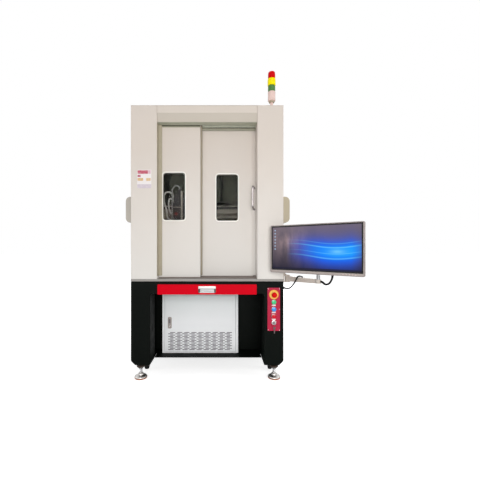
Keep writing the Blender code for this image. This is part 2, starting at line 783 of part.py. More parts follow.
def rear_skin():
    """The vented sheet that closes the rear end frame."""
    inner_y = CABINET_DEPTH - SKIN_INSET
    skin = block("rear_skin", (-LEG_INNER - BITE, inner_y - SKIN_THICKNESS, UNDER_FRAME + RAIL_REVEAL),
                 (LEG_INNER + BITE, inner_y, BEAM_BOTTOM + BITE))
    return skin, slot_pattern("rear_vents", louvre_places(BASE_VENT_Z, REAR_SLOT_ROWS),
                              (REAR_SLOT_LENGTH, REAR_SLOT_HEIGHT), inner_y, SKIN_INSET + OVERRUN)


def base_frame():
    frame = extrude("base_frame", [portal_outline()], "XZ", 0, LEG_DEPTH, BLACK_PAINT)
    soften(frame, LEG_EDGE_RADIUS)
    rear = extrude("rear_portal", [portal_outline()], "XZ", CABINET_DEPTH - LEG_DEPTH, CABINET_DEPTH)
    soften(rear, LEG_EDGE_RADIUS)
    cross_top = FRAME_TOP - RAIL_REVEAL - BITE
    cross_end = HALF_WIDTH - SIDE_RAIL_WIDTH + BITE
    cross = block("cross_member", (-cross_end, CROSS_MEMBER_Y, cross_top - CROSS_MEMBER_SIZE),
                  (cross_end, CROSS_MEMBER_Y + CROSS_MEMBER_SIZE, cross_top))
    skin, vents = rear_skin()
    join(frame, rear, *side_frame(1), *side_frame(-1), cross, skin, solver="MANIFOLD")
    slot_x = TRAY_WIDTH / 2 + SLOT_CLEARANCE
    slot = block("drawer_slot", (-slot_x, -OVERRUN, TRAY_LOW_Z - SLOT_CLEARANCE),
                 (slot_x, LEG_DEPTH + OVERRUN, TRAY_LOW_Z + TRAY_HEIGHT + SLOT_CLEARANCE))
    pocket = block("switch_pocket", (PLATE_X - SWITCH_POCKET_WIDTH / 2, -OVERRUN,
                                     KEY_SWITCH_Z - SWITCH_BEZEL_RADIUS),
                   (PLATE_X + SWITCH_POCKET_WIDTH / 2, SWITCH_POCKET_DEPTH, ESTOP_Z + SWITCH_BEZEL_RADIUS))
    cut(frame, slot, pocket, vents, solver="MANIFOLD")
    gland = rod("cable_gland", (HALF_WIDTH - BITE, GLAND_Y, GLAND_Z),
                (HALF_WIDTH + GLAND_REACH, GLAND_Y, GLAND_Z), GLAND_RADIUS)
    join(frame, drawer_runner(1), drawer_runner(-1), gland, solver="MANIFOLD")


def recess_liner():
    """The shelf and the back panel of the knee space, folded from one sheet."""
    narrow = LEG_INNER - SEAT_GAP
    wide = HALF_WIDTH - SIDE_RAIL_WIDTH - SEAT_GAP
    front, notch = LEG_DEPTH + SEAT_GAP, LEG_DEPTH + CORNER_PLATE_DEPTH + SEAT_GAP
    shelf = block("recess_liner", (-wide, front, UNDER_FRAME), (wide, CABINET_DEPTH - front, SHELF_TOP),
                  BLACK_PAINT)
    for side in (-1, 1):
        x_low, x_high = sorted((side * narrow, side * (wide + OVERRUN)))
        for y_low, y_high in ((front - OVERRUN, notch),
                              (CABINET_DEPTH - notch, CABINET_DEPTH - front + OVERRUN)):
            cut(shelf, block("corner_notch", (x_low, y_low, UNDER_FRAME - OVERRUN),
                             (x_high, y_high, SHELF_TOP + OVERRUN)))
    panel = block("recess_back", (-wide + BITE, RECESS_DEPTH, SHELF_TOP - BITE),
                  (wide - BITE, RECESS_DEPTH + SHEET, LINER_TOP))
    hole = block("cooler_opening", (COOLER_LEFT - RUNNING_GAP, RECESS_DEPTH - OVERRUN, SHELF_TOP - OVERRUN),
                 (COOLER_RIGHT + RUNNING_GAP, RECESS_DEPTH + OVERRUN, COOLER_TOP + RUNNING_GAP))
    cut(panel, hole)
    join(shelf, panel)


def bed_plate():
    plate = block("bed_plate", (-HALF_WIDTH, 0, FRAME_TOP + SEAT_GAP), (HALF_WIDTH, CABINET_DEPTH, BED_TOP),
                  BED_PAINT)
    soften(plate, FOLD_RADIUS, 2)


def corner_places(x, y):
    """The four places of a foot or caster, with the names of the corners."""
    return {
        "front_left": (-x, y), "front_right": (x, y),
        "rear_left": (-x, CABINET_DEPTH - y), "rear_right": (x, CABINET_DEPTH - y),
    }


def levelling_feet():
    """A rubber-rimmed disc with a domed top, a threaded stem and a lock nut under the leg."""
    stem_top = UNDER_FRAME - SEAT_GAP
    hub_top = FOOT_DOME_HEIGHT + FOOT_NUT_HEIGHT
    profile = [
        (0, stem_top), (FOOT_NUT_RADIUS, stem_top), (FOOT_NUT_RADIUS, stem_top - FOOT_NUT_HEIGHT),
        (FOOT_STEM_RADIUS, stem_top - FOOT_NUT_HEIGHT), (FOOT_STEM_RADIUS, hub_top),
        (FOOT_HUB_RADIUS, hub_top), (FOOT_HUB_RADIUS, FOOT_DOME_HEIGHT),
        ((FOOT_HUB_RADIUS + FOOT_RADIUS) / 2, (FOOT_DOME_HEIGHT + FOOT_RIM_HEIGHT) / 2),
        (FOOT_RADIUS, FOOT_RIM_HEIGHT), (FOOT_RADIUS, FOOT_EDGE), (FOOT_RADIUS - FOOT_EDGE, 0), (0, 0),
    ]
    for corner, (x, y) in corner_places(FOOT_X, FOOT_Y).items():
        turned("levelling_foot_" + corner, profile, (x, y, 0), surface=CHROME)


def caster_fork(name, swivel, axle_z, top_z):
    """A pressed steel fork: crown, two arms and the axle, in the swivel's frame."""
    arm_inner = WHEEL_HUB_WIDTH / 2 + FORK_CLEARANCE
    arm_outer = arm_inner + FORK_THICKNESS
    crown_low = top_z - FORK_CROWN_THICKNESS
    crown = turned(name, [(0, top_z), (CASTER_RACE_RADIUS, top_z), (CASTER_RACE_RADIUS, crown_low),
                          (0, crown_low)],
                   (0, 0, 0), surface=CHROME, parent=swivel)
    reach = FORK_ARM_WIDTH / 2
    bridge_end = arm_outer - FORK_THICKNESS / 2
    bridge_top = top_z - FORK_CROWN_THICKNESS / 4
    arm_top = top_z - FORK_CROWN_THICKNESS / 2
    bridge = block("fork_bridge", (-bridge_end, BITE - reach, crown_low - BITE),
                   (bridge_end, CASTER_TRAIL - BITE, bridge_top), parent=swivel)
    ear = AXLE_RADIUS + FORK_THICKNESS
    outline = [
        (-reach, arm_top), (-reach, crown_low), (CASTER_TRAIL - ear, axle_z),
        *arc((CASTER_TRAIL, axle_z), ear, 180, 360)[1:],
        (CASTER_TRAIL + ear, crown_low), (CASTER_TRAIL, arm_top),
    ]
    arms = [
        extrude("fork_arm", [outline], "YZ", *sorted((side * arm_inner, side * arm_outer)), parent=swivel)
        for side in (-1, 1)
    ]
    axle = rod("axle", (-arm_outer - FORK_THICKNESS, CASTER_TRAIL, axle_z),
               (arm_outer + FORK_THICKNESS, CASTER_TRAIL, axle_z), AXLE_RADIUS, parent=swivel)
    join(crown, bridge, *arms, axle)


def caster_wheel(name, spin):
    """Tyre, web and hub as one ring round the axle."""
    tread, web, hub = WHEEL_WIDTH / 2, WHEEL_WEB_THICKNESS / 2, WHEEL_HUB_WIDTH / 2
    bore = bore_radius(AXLE_RADIUS, WHEEL_STEPS)
    profile = [
        (bore, hub), (WHEEL_HUB_RADIUS, hub), (WHEEL_HUB_RADIUS, web), (WHEEL_WEB_RADIUS, web),
        (WHEEL_WEB_RADIUS, tread), (WHEEL_RADIUS - WHEEL_EDGE, tread), (WHEEL_RADIUS, tread - WHEEL_EDGE),
        (WHEEL_RADIUS, WHEEL_EDGE - tread), (WHEEL_RADIUS - WHEEL_EDGE, -tread), (WHEEL_WEB_RADIUS, -tread),
        (WHEEL_WEB_RADIUS, -web), (WHEEL_HUB_RADIUS, -web), (WHEEL_HUB_RADIUS, -hub), (bore, -hub),
    ]
    turned(name, profile, (0, 0, 0), TURN_TO_SIDE, BLACK_RUBBER, spin, WHEEL_STEPS, ring=True)


def casters():
    axle_z = CASTER_LIFT + WHEEL_RADIUS
    top_z = UNDER_FRAME - CASTER_PLATE_THICKNESS - CASTER_RACE_HEIGHT - SEAT_GAP
    for corner, (x, y) in corner_places(CASTER_X, CASTER_Y).items():
        turn = 0 if "front" in corner else math.pi
        swivel = empty("caster_swivel_" + corner, (x, y, 0), ROOT, turn)
        spin = empty("caster_spin_" + corner, (0, CASTER_TRAIL, axle_z), swivel)
        caster_fork("caster_fork_" + corner, swivel, axle_z, top_z)
        caster_wheel("caster_wheel_" + corner, spin)


# Cabinet shell

def cabinet_wall(name, side, pillar_depth):
    """A front pillar and the side sheet behind it, as one folded wall seen in plan."""
    outline = [
        *arc((PILLAR_INNER + PILLAR_RADIUS, PILLAR_RADIUS), PILLAR_RADIUS, 180, 270),
        *arc((HALF_WIDTH - PILLAR_RADIUS, PILLAR_RADIUS), PILLAR_RADIUS, 270, 360),
        (HALF_WIDTH, CABINET_DEPTH), (HALF_WIDTH - SHEET, CABINET_DEPTH),
        (HALF_WIDTH - SHEET, pillar_depth), (PILLAR_INNER, pillar_depth),
    ]
    extrude(name, [[(side * x, y) for x, y in outline]], "XY", SHELL_BOTTOM, SHELL_TOP, CREAM)


def header_cover():
    """The cover over the doors: a band, then a face that leans back a little to the soffit."""
    outline = [
        (0, SHELL_TOP - HEADER_BAND), (HEADER_SLOPE_DEPTH, HEADER_BOTTOM), (HEADER_DEPTH, HEADER_BOTTOM),
        (HEADER_DEPTH, SHELL_TOP), (0, SHELL_TOP),
    ]
    reach = PILLAR_INNER - SEAT_GAP
    cover = extrude("header_cover", [outline], "YZ", -reach, reach, CREAM)
    soften(cover, FOLD_RADIUS)


def roof_panel():
    roof = block("roof_panel", (-HALF_WIDTH, 0, CABINET_TOP - ROOF_THICKNESS),
                 (HALF_WIDTH, CABINET_DEPTH, CABINET_TOP), CREAM)
    soften(roof, ROOF_THICKNESS / 3)


def cabinet_rear_panel():
    """A vented sheet between the side walls."""
    reach = HALF_WIDTH - SHEET - SEAT_GAP
    panel = block("cabinet_rear_panel", (-reach, CABINET_DEPTH - SHEET, SHELL_BOTTOM),
                  (reach, CABINET_DEPTH, SHELL_TOP), CREAM)
    cut(panel, slot_pattern("cabinet_vents", louvre_places(VENT_Z, CABINET_VENT_ROWS),
                            (REAR_SLOT_LENGTH, REAR_SLOT_HEIGHT), CABINET_DEPTH, OVERRUN))


def track_outline(base_low, base_high, leg_end):
    """A track seen from the side: a base with one leg between the leaves and one behind them."""
    middle = FIXED_LEAF_FRONT + LEAF_THICKNESS + TRACK_REAR_MARGIN
    edge = base_high if leg_end > base_high else base_low
    other = base_low if leg_end > base_high else base_high
    return [
        (FIXED_LEAF_FRONT, other), (FIXED_LEAF_FRONT, edge), (middle, edge), (middle, leg_end),
        (middle + TRACK_LEG, leg_end), (middle + TRACK_LEG, edge), (TRACK_REAR - TRACK_LEG, edge),
        (TRACK_REAR - TRACK_LEG, leg_end), (TRACK_REAR, leg_end), (TRACK_REAR, other),
    ]


def pillar_clearance(z_low, z_high):
    """What the deeper right pillar takes away from a track."""
    return block("pillar_clearance", (PILLAR_INNER - SEAT_GAP, FIXED_LEAF_FRONT - OVERRUN, z_low - OVERRUN),
                 (HALF_WIDTH, SLIDING_DOOR_FRONT - RUNNING_GAP + SEAT_GAP, z_high + OVERRUN))


def door_tracks():
    reach = HALF_WIDTH - SHEET - SEAT_GAP
    low, high = SHELL_BOTTOM, SHELL_BOTTOM + BOTTOM_TRACK_THICKNESS
    bottom = extrude("door_bottom_track", [track_outline(low, high, high + BOTTOM_TRACK_LEG_HEIGHT)],
                     "YZ", -reach, reach, DARK_METAL)
    stop_right = PILLAR_INNER - RUNNING_GAP
    stop = block("door_stop", (stop_right - DOOR_STOP_WIDTH, FIXED_LEAF_FRONT, high - BITE),
                 (stop_right, FIXED_LEAF_FRONT + LEAF_THICKNESS, high + DOOR_STOP_HEIGHT))
    join(bottom, stop)
    cut(bottom, pillar_clearance(low, high))
    low, high = SHELL_TOP - HEAD_TRACK_THICKNESS, SHELL_TOP
    head = extrude("door_head_track", [track_outline(low, high, low - HEAD_TRACK_LEG_HEIGHT)],
                   "YZ", -reach, reach, ALUMINIUM)
    cut(head, pillar_clearance(low - HEAD_TRACK_LEG_HEIGHT, high))


def leaf(name, left, right, front, window_x, parent=None, origin_x=0):
    """A door leaf with a round-cornered window opening and a raised bead round it on both faces."""
    low = (left - origin_x, front, LEAF_BOTTOM)
    high = (right - origin_x, front + LEAF_THICKNESS, LEAF_TOP)
    panel = soften(block(name, low, high, CREAM, parent), FOLD_RADIUS)
    x = window_x - origin_x

    def window(margin, y_low, y_high, label):
        half_width, half_height = WINDOW_WIDTH / 2 + margin, WINDOW_HEIGHT / 2 + margin
        outline = rounded_rectangle((x - half_width, WINDOW_Z - half_height),
                                    (x + half_width, WINDOW_Z + half_height), WINDOW_RADIUS + margin)
        return extrude(label, [outline], "XZ", y_low, y_high, parent=parent)

    bead = window(BEAD_WIDTH, front - BEAD_HEIGHT, front + LEAF_THICKNESS + BEAD_HEIGHT, "bead")
    join(panel, bead)
    cut(panel, window(0, front - OVERRUN, front + LEAF_THICKNESS + OVERRUN, "window_opening"))
    middle = front + LEAF_THICKNESS / 2
    glass = window(-SEAT_GAP, middle - GLASS_THICKNESS / 2, middle + GLASS_THICKNESS / 2, name + "_window")
    glass.data.materials[0] = TINTED_GLASS
    return panel


def door_pull(parent, origin_x):
    """A bar pull: two bosses on the door, and a bar carried off beside and above them."""
    face = SLIDING_DOOR_FRONT - SEAT_GAP
    x = PULL_X - origin_x
    low, high = PULL_LOW_Z, PULL_HIGH_Z
    bar_x, bar_y = x - PULL_SIDE_OFFSET, face - PULL_STANDOFF
    route = [
        (x, face - PULL_BOSS_HEIGHT / 2, low), (bar_x, bar_y, low + PULL_RISE),
        (bar_x, bar_y, high + PULL_RISE), (x, face - PULL_BOSS_HEIGHT / 2, high),
    ]
    bar = tube_mesh("door_pull", rounded_corners(route, PULL_RADIUS * 2), PULL_RADIUS, CHROME, parent)
    bosses = [
        rod("pull_boss", (x, face - PULL_BOSS_HEIGHT, z), (x, face, z), PULL_BOSS_RADIUS, parent=parent)
        for z in (low, high)
    ]
    join(bar, *bosses)


def rounded_corners(route, radius):
    """The route with each inner corner replaced by points of a bend."""
    points = [Vector(p) for p in route]
    bent = [points[0]]
    for before, corner, after in zip(points, points[1:], points[2:]):
        start = corner + (before - corner).normalized() * radius
        end = corner + (after - corner).normalized() * radius
        for i in range(ARC_STEPS + 1):
            t = i / ARC_STEPS
            bent.append(start * (1 - t) ** 2 + corner * 2 * t * (1 - t) + end * t**2)
    return [*bent, points[-1]]


def door_leaves():
    leaf("fixed_leaf", FIXED_LEAF_LEFT, FIXED_LEAF_RIGHT, FIXED_LEAF_FRONT, FIXED_WINDOW_X)
    origin_x = (SLIDING_DOOR_LEFT + SLIDING_DOOR_RIGHT) / 2
    slide = empty("door_slide", (origin_x, 0, 0), ROOT)
    leaf("sliding_door", SLIDING_DOOR_LEFT, SLIDING_DOOR_RIGHT, SLIDING_DOOR_FRONT, SLIDING_WINDOW_X, slide,
         origin_x)
    door_pull(slide, origin_x)


def side_covers():
    """Boxes over the ends of the gantry axis, with round outer corners seen from the front."""
    inner = HALF_WIDTH + SEAT_GAP
    outer = HALF_WIDTH + SIDE_COVER_REACH
    corner_x = outer - SIDE_COVER_RADIUS
    low_corner, high_corner = SIDE_COVER_LOW_Z + SIDE_COVER_RADIUS, SIDE_COVER_HIGH_Z - SIDE_COVER_RADIUS
    steps = 2 * ARC_STEPS
    outline = [
        (inner, SIDE_COVER_LOW_Z),
        *arc((corner_x, low_corner), SIDE_COVER_RADIUS, 270, 360, steps),
        *arc((corner_x, high_corner), SIDE_COVER_RADIUS, 0, 90, steps),
        (inner, SIDE_COVER_HIGH_Z),
    ]
    for name, side in (("side_cover_left", -1), ("side_cover_right", 1)):
        cover = extrude(name, [[(side * x, z) for x, z in outline]], "XZ", SIDE_COVER_FRONT,
                        SIDE_COVER_FRONT + SIDE_COVER_LENGTH, BEIGE)
        soften(cover, SIDE_COVER_EDGE, 2)


def signal_tower():
    """A flange, stem and body, with three stacked lenses."""
    base = CABINET_TOP + SEAT_GAP
    body_top = TOWER_GREEN_LOW_Z - SEAT_GAP
    at = (TOWER_X, TOWER_Y, 0)
    flange_top = base + TOWER_FLANGE_HEIGHT
    turned("signal_tower_body", [
        (0, body_top), (TOWER_BODY_RADIUS, body_top),
        (TOWER_BODY_RADIUS, TOWER_BODY_LOW_Z + TOWER_COLLAR_EDGE),
        (TOWER_BODY_RADIUS - TOWER_COLLAR_EDGE, TOWER_BODY_LOW_Z), (TOWER_STEM_RADIUS, TOWER_BODY_LOW_Z),
        (TOWER_STEM_RADIUS, flange_top), (TOWER_FLANGE_RADIUS - TOWER_COLLAR_EDGE, flange_top),
        (TOWER_FLANGE_RADIUS, flange_top - TOWER_COLLAR_EDGE), (TOWER_FLANGE_RADIUS, base), (0, base),
    ], at, surface=WHITE_PLASTIC)

    def lens(name, radius, low, high, surface, dome=TOWER_COLLAR_EDGE):
        groove = low + TOWER_COLLAR_EDGE
        turned(name, [
            (0, high), (radius - dome, high), *dome_points(radius, high, dome), (radius, groove),
            (radius - TOWER_COLLAR_EDGE, groove), (radius - TOWER_COLLAR_EDGE, low), (0, low),
        ], at, surface=surface)

    lens("tower_lens_green", TOWER_LENS_RADIUS, TOWER_GREEN_LOW_Z, TOWER_YELLOW_LOW_Z - SEAT_GAP, GREEN_LENS)
    lens("tower_lens_yellow", TOWER_YELLOW_RADIUS, TOWER_YELLOW_LOW_Z, TOWER_RED_LOW_Z - SEAT_GAP,
         YELLOW_LENS)
    lens("tower_lens_red", TOWER_LENS_RADIUS, TOWER_RED_LOW_Z, TOWER_TOP_Z, RED_LENS, TOWER_DOME_RADIUS)


def dome_points(radius, top, rounding):
    """The rounded shoulder of a turned piece, from just past its top edge down to its side."""
    return arc((radius - rounding, top - rounding), rounding, 90, 0)[1:]


# Drawer

def keyboard_drawer():
    slide = empty("drawer_slide", (0, 0, 0), ROOT)
    reach = DRAWER_FRONT_WIDTH / 2
    top = DRAWER_FRONT_LOW_Z + DRAWER_FRONT_HEIGHT
    back = -SEAT_GAP
    outline = rounded_rectangle((-reach, DRAWER_FRONT_LOW_Z), (reach, top), DRAWER_FRONT_RADIUS)
    front = extrude("drawer_front", [outline], "XZ", back - DRAWER_FRONT_THICKNESS, back, RED_PAINT, slide)
    soften(front, FOLD_RADIUS)
    tray_x = TRAY_WIDTH / 2
    tray_top = TRAY_LOW_Z + TRAY_HEIGHT
    tray = block("drawer_tray", (-tray_x, 0, TRAY_LOW_Z), (tray_x, TRAY_DEPTH, tray_top), DARK_METAL, slide)
    well = block("tray_well", (-tray_x + TRAY_WALL, TRAY_WALL, TRAY_LOW_Z + TRAY_WALL),
                 (tray_x - TRAY_WALL, TRAY_DEPTH - TRAY_WALL, tray_top + OVERRUN), parent=slide)
    middle_z = (DRAWER_FRONT_LOW_Z + top) / 2
    cut(front, pull_cup("cup_hole", middle_z, back - DRAWER_FRONT_THICKNESS - OVERRUN, OVERRUN, SEAT_GAP,
                        slide))
    cut(tray, well, pull_cup("cup_hole_in_tray", middle_z, -OVERRUN, TRAY_WALL + OVERRUN, SEAT_GAP, slide))
    drawer_pull(middle_z, back - DRAWER_FRONT_THICKNESS - SEAT_GAP, slide)


def pull_cup(name, middle_z, low, high, margin, parent, surface=None):
    """The block of the pull that goes through the drawer front, wider by a margin for its hole."""
    half_width = DRAWER_PULL_WIDTH / 2 - DRAWER_PULL_FLANGE + margin
    half_height = DRAWER_PULL_HEIGHT / 2 - DRAWER_PULL_FLANGE + margin
    outline = rounded_rectangle((-half_width, middle_z - half_height), (half_width, middle_z + half_height),
                                DRAWER_PULL_RADIUS)
    return extrude(name, [outline], "XZ", low, high, surface, parent)


def drawer_pull(middle_z, face, parent):
    """A flange with a cup behind it and a finger bar along the top of its mouth."""
    half_width, half_height = DRAWER_PULL_WIDTH / 2, DRAWER_PULL_HEIGHT / 2
    outline = rounded_rectangle((-half_width, middle_z - half_height), (half_width, middle_z + half_height),
                                DRAWER_PULL_RADIUS)
    pull = extrude("drawer_pull", [outline], "XZ", face - DRAWER_PULL_LIP, face, CHROME, parent)
    cup_back = face + DRAWER_PULL_CUP_DEPTH
    join(pull, pull_cup("cup", middle_z, face - BITE, cup_back, 0, parent))
    bar_low = middle_z + half_height - DRAWER_PULL_FLANGE - DRAWER_PULL_BAR
    cut(pull, pull_cup("hollow", middle_z, face - OVERRUN, cup_back - DRAWER_PULL_WALL, -DRAWER_PULL_WALL,
                       parent))
    bar_x = half_width - DRAWER_PULL_FLANGE - DRAWER_PULL_RADIUS
    bar_high = bar_low + DRAWER_PULL_BAR - DRAWER_PULL_WALL / 2
    bar = block("finger_bar", (-bar_x, face - DRAWER_PULL_LIP / 2, bar_low),
                (bar_x, face + DRAWER_PULL_WALL, bar_high), parent=parent)
    join(pull, bar)


# Control plate

def control_plate():
    """The plate, with a bezel ring round each button and the key switch."""
    half = PLATE_WIDTH / 2
    back = -SEAT_GAP
    outline = rounded_rectangle((PLATE_X - half, PLATE_LOW_Z), (PLATE_X + half, PLATE_HIGH_Z), PLATE_RADIUS)
    plate = extrude("control_plate", [outline], "XZ", back - PLATE_THICKNESS, back, CRIMSON)
    face = back - PLATE_THICKNESS
    for z in (GREEN_BUTTON_Z, BLUE_BUTTON_Z, RED_BUTTON_Z, KEY_SWITCH_Z):
        join(plate, rod("bezel", (PLATE_X, face - SWITCH_BEZEL_HEIGHT, z), (PLATE_X, back - BITE, z),
                        SWITCH_BEZEL_RADIUS, steps=ROUND_STEPS), solver="MANIFOLD")
    for z in (GREEN_BUTTON_Z, BLUE_BUTTON_Z, RED_BUTTON_Z, ESTOP_Z):
        cut(plate, rod("switch_bore", (PLATE_X, face - SWITCH_BEZEL_HEIGHT - OVERRUN, z),
                       (PLATE_X, OVERRUN, z), SWITCH_BORE_RADIUS, steps=ROUND_STEPS), solver="MANIFOLD")
    key_width, key_height = KEY_BLADE_THICKNESS / 2 + SEAT_GAP, KEY_BLADE_WIDTH / 2 + SEAT_GAP
    swept = math.hypot(key_width, key_height)
    cut(plate, rod("keyway", (PLATE_X, face - SWITCH_BEZEL_HEIGHT - OVERRUN, KEY_SWITCH_Z),
                   (PLATE_X, OVERRUN, KEY_SWITCH_Z), swept), solver="MANIFOLD")
    turned("estop_collar", [
        (SWITCH_BORE_RADIUS, ESTOP_COLLAR_HEIGHT), (ESTOP_COLLAR_RADIUS - BUTTON_EDGE, ESTOP_COLLAR_HEIGHT),
        (ESTOP_COLLAR_RADIUS, ESTOP_COLLAR_HEIGHT - BUTTON_EDGE), (ESTOP_COLLAR_RADIUS, 0),
        (SWITCH_BORE_RADIUS, 0),
    ], (PLATE_X, face - SEAT_GAP, ESTOP_Z), TURN_TO_FRONT, YELLOW_LENS, ring=True)
    return face


def push_button(name, z, face, surface):
    """A flat head with a rounded edge in the bezel's bore."""
    travel = empty(name + "_travel", (PLATE_X, face, z), ROOT)
    radius = SWITCH_BORE_RADIUS - SHAFT_GAP
    top = SWITCH_BEZEL_HEIGHT + BUTTON_PROUD
    turned(name, [(0, top), *arc((radius - BUTTON_EDGE, top - BUTTON_EDGE), BUTTON_EDGE, 90, 0),
                  (radius, -BUTTON_STEM), (0, -BUTTON_STEM)], (0, 0, 0), TURN_TO_FRONT, surface, travel)


def emergency_stop(face):
    """A mushroom head on a stem through the collar."""
    travel = empty("estop_travel", (PLATE_X, face, ESTOP_Z), ROOT)
    stem = ESTOP_STEM_RADIUS
    under = ESTOP_HEAD_PROUD - ESTOP_HEAD_THICKNESS
    rim = (ESTOP_HEAD_RADIUS - ESTOP_EDGE, ESTOP_HEAD_PROUD - ESTOP_EDGE)
    profile = [
        (0, ESTOP_HEAD_PROUD), *arc(rim, ESTOP_EDGE, 90, 0),
        (ESTOP_HEAD_RADIUS, under), (stem, under - ESTOP_EDGE), (stem, -BUTTON_STEM), (0, -BUTTON_STEM),
    ]
    turned("estop_head", profile, (0, 0, 0), TURN_TO_FRONT, RED_LENS, travel)


def switch_key(face):
    """A key in the switch, and the ring that carries the spare."""
    barrel = face - SWITCH_BEZEL_HEIGHT
    turn = empty("key_turn", (PLATE_X, barrel, KEY_SWITCH_Z), ROOT)
    half = KEY_BLADE_THICKNESS / 2
    bow_y = -KEY_NECK - KEY_BOW_RADIUS
    outline = [
        (KEY_BLADE_DEPTH, -KEY_BLADE_WIDTH / 2), (KEY_BLADE_DEPTH, KEY_BLADE_WIDTH / 2),
        (-KEY_NECK, KEY_BLADE_WIDTH / 2), *arc((bow_y, 0), KEY_BOW_RADIUS, 30, 330, SMALL_STEPS),
        (-KEY_NECK, -KEY_BLADE_WIDTH / 2),
    ]
    hole_y = bow_y - KEY_HOLE_RADIUS / 2
    hole = arc((hole_y, 0), KEY_HOLE_RADIUS, 0, 360 - 360 / SMALL_STEPS, SMALL_STEPS - 1)
    extrude("switch_key", [outline, hole], "YZ", -half, half, CHROME, turn)
    spare_key(turn, hole_y)


def spare_key(parent, hole_y):
    """A split ring through the bow, and the spare key hanging from it."""
    hole_floor = -KEY_HOLE_RADIUS * math.cos(math.pi / SMALL_STEPS)
    swing = empty("spare_key_swing", (0, hole_y, hole_floor + SEAT_GAP + RING_WIRE_RADIUS), parent)
    circle = [
        (RING_RADIUS * math.cos(a), 0, RING_RADIUS * math.sin(a) - RING_RADIUS)
        for a in (math.tau * i / ROUND_STEPS for i in range(ROUND_STEPS))
    ]
    ring = ring_mesh("spare_key", circle, RING_WIRE_RADIUS, CHROME, swing)
    half = KEY_BLADE_THICKNESS / 2
    bow_z = -2 * RING_RADIUS - SPARE_BOW_RADIUS + KEY_HOLE_RADIUS / 2
    blade = KEY_BLADE_WIDTH / 2
    end_z = bow_z - SPARE_KEY_LENGTH
    outline = [
        *arc((0, bow_z), SPARE_BOW_RADIUS, -60, 240, SMALL_STEPS),
        (-blade, end_z + blade), (0, end_z), (blade, end_z + blade),
    ]
    join(ring, extrude("spare_blade", [outline], "XZ", -half, half, parent=swing))


def ring_mesh(name, circle, radius, surface, parent):
    """A closed round wire."""
    bm = bmesh.new()
    centre = sum((Vector(p) for p in circle), Vector()) / len(circle)
    rings = []
    for p in circle:
        out = (Vector(p) - centre).normalized()
        side = Vector((0, 1, 0))
        angles = [math.tau * i / WIRE_STEPS for i in range(WIRE_STEPS)]
        around = [Vector(p) + radius * (out * math.cos(a) + side * math.sin(a)) for a in angles]
        rings.append([bm.verts.new(co) for co in around])
    for first, second in zip(rings, rings[1:] + rings[:1]):
        for i in range(WIRE_STEPS):
            j = (i + 1) % WIRE_STEPS
            bm.faces.new((first[i], first[j], second[j], second[i]))
    return object_from(bm, name, surface, parent)


def controls():
    face = control_plate()
    push_button("button_green", GREEN_BUTTON_Z, face, GREEN_LENS)
    push_button("button_blue", BLUE_BUTTON_Z, face, BLUE_PLASTIC)
    push_button("button_red", RED_BUTTON_Z, face, RED_LENS)
    emergency_stop(face)
    switch_key(face)


# Cooling unit

def cooler_door_edges():
    """Left, right, bottom and top of the door, inside the housing's front strips."""
    gap = COOLER_DOOR_GAP
    return (
        COOLER_LEFT + COOLER_STRIP + gap, COOLER_RIGHT - COOLER_STRIP - gap,
        COOLER_BOTTOM + COOLER_BOTTOM_STRIP + gap, COOLER_TOP - COOLER_TOP_STRIP - gap,
    )


def cooling_housing():
    """A sheet case with front strips, and the radiator and fan behind the door."""
    rear = COOLER_FRONT + COOLER_DEPTH
    case = block("cooler_housing", (COOLER_LEFT, COOLER_FRONT, COOLER_BOTTOM),
                 (COOLER_RIGHT, rear, COOLER_TOP), COOLER_PAINT)
    soften(case, FOLD_RADIUS)
    inside = block("inside", (COOLER_LEFT + COOLER_SHEET, COOLER_FRONT + COOLER_STRIP_DEPTH,
                              COOLER_BOTTOM + COOLER_SHEET),
                   (COOLER_RIGHT - COOLER_SHEET, rear - COOLER_SHEET, COOLER_TOP - COOLER_SHEET))
    left, right, bottom, top = cooler_door_edges()
    gap = COOLER_DOOR_GAP
    doorway = block("doorway", (left - gap, COOLER_FRONT - OVERRUN, bottom - gap),
                    (right + gap, COOLER_FRONT + COOLER_STRIP_DEPTH + OVERRUN, top + gap))
    hinge_x, hinge_y = right - COOLER_HINGE_INSET, COOLER_FRONT + COOLER_HINGE_INSET
    socket_reach = gap + COOLER_PIN_LENGTH
    sockets = rod("hinge_sockets", (hinge_x, hinge_y, bottom - socket_reach),
                  (hinge_x, hinge_y, top + socket_reach), bore_radius(COOLER_PIN_RADIUS, SMALL_STEPS))
    cut(case, inside, doorway, sockets)
    join(case, radiator())


def radiator():
    """A finned block with a fan opening, a hub and spokes."""
    low_y = COOLER_FRONT + COOLER_STRIP_DEPTH + RADIATOR_GAP
    high_y = low_y + RADIATOR_THICKNESS
    left, right = COOLER_LEFT + COOLER_STRIP, COOLER_RIGHT - COOLER_STRIP
    floor = COOLER_BOTTOM + COOLER_SHEET - BITE
    middle_x = (left + right) / 2
    middle_z = floor + RADIATOR_MARGIN + FAN_RADIUS
    outline = [(left, floor), (right, floor), (right, middle_z + FAN_RADIUS + RADIATOR_MARGIN),
               (left, middle_z + FAN_RADIUS + RADIATOR_MARGIN)]
    hole = arc((middle_x, middle_z), FAN_RADIUS, 0, 360 - 360 / WHEEL_STEPS, WHEEL_STEPS - 1)
    body = extrude("radiator", [outline, hole], "XZ", low_y, high_y)
    hub = rod("fan_hub", (middle_x, low_y, middle_z), (middle_x, high_y, middle_z), FAN_HUB_RADIUS,
              steps=ROUND_STEPS)
    reach, half = FAN_RADIUS + BITE, FAN_SPOKE / 2
    thin = RADIATOR_THICKNESS / 3
    across = block("spoke_across", (middle_x - reach, low_y + thin, middle_z - half),
                   (middle_x + reach, high_y - thin, middle_z + half))
    upright = block("spoke_upright", (middle_x - half, low_y + thin, middle_z - reach),
                    (middle_x + half, high_y - thin, middle_z + reach))
    return join(body, hub, across, upright)


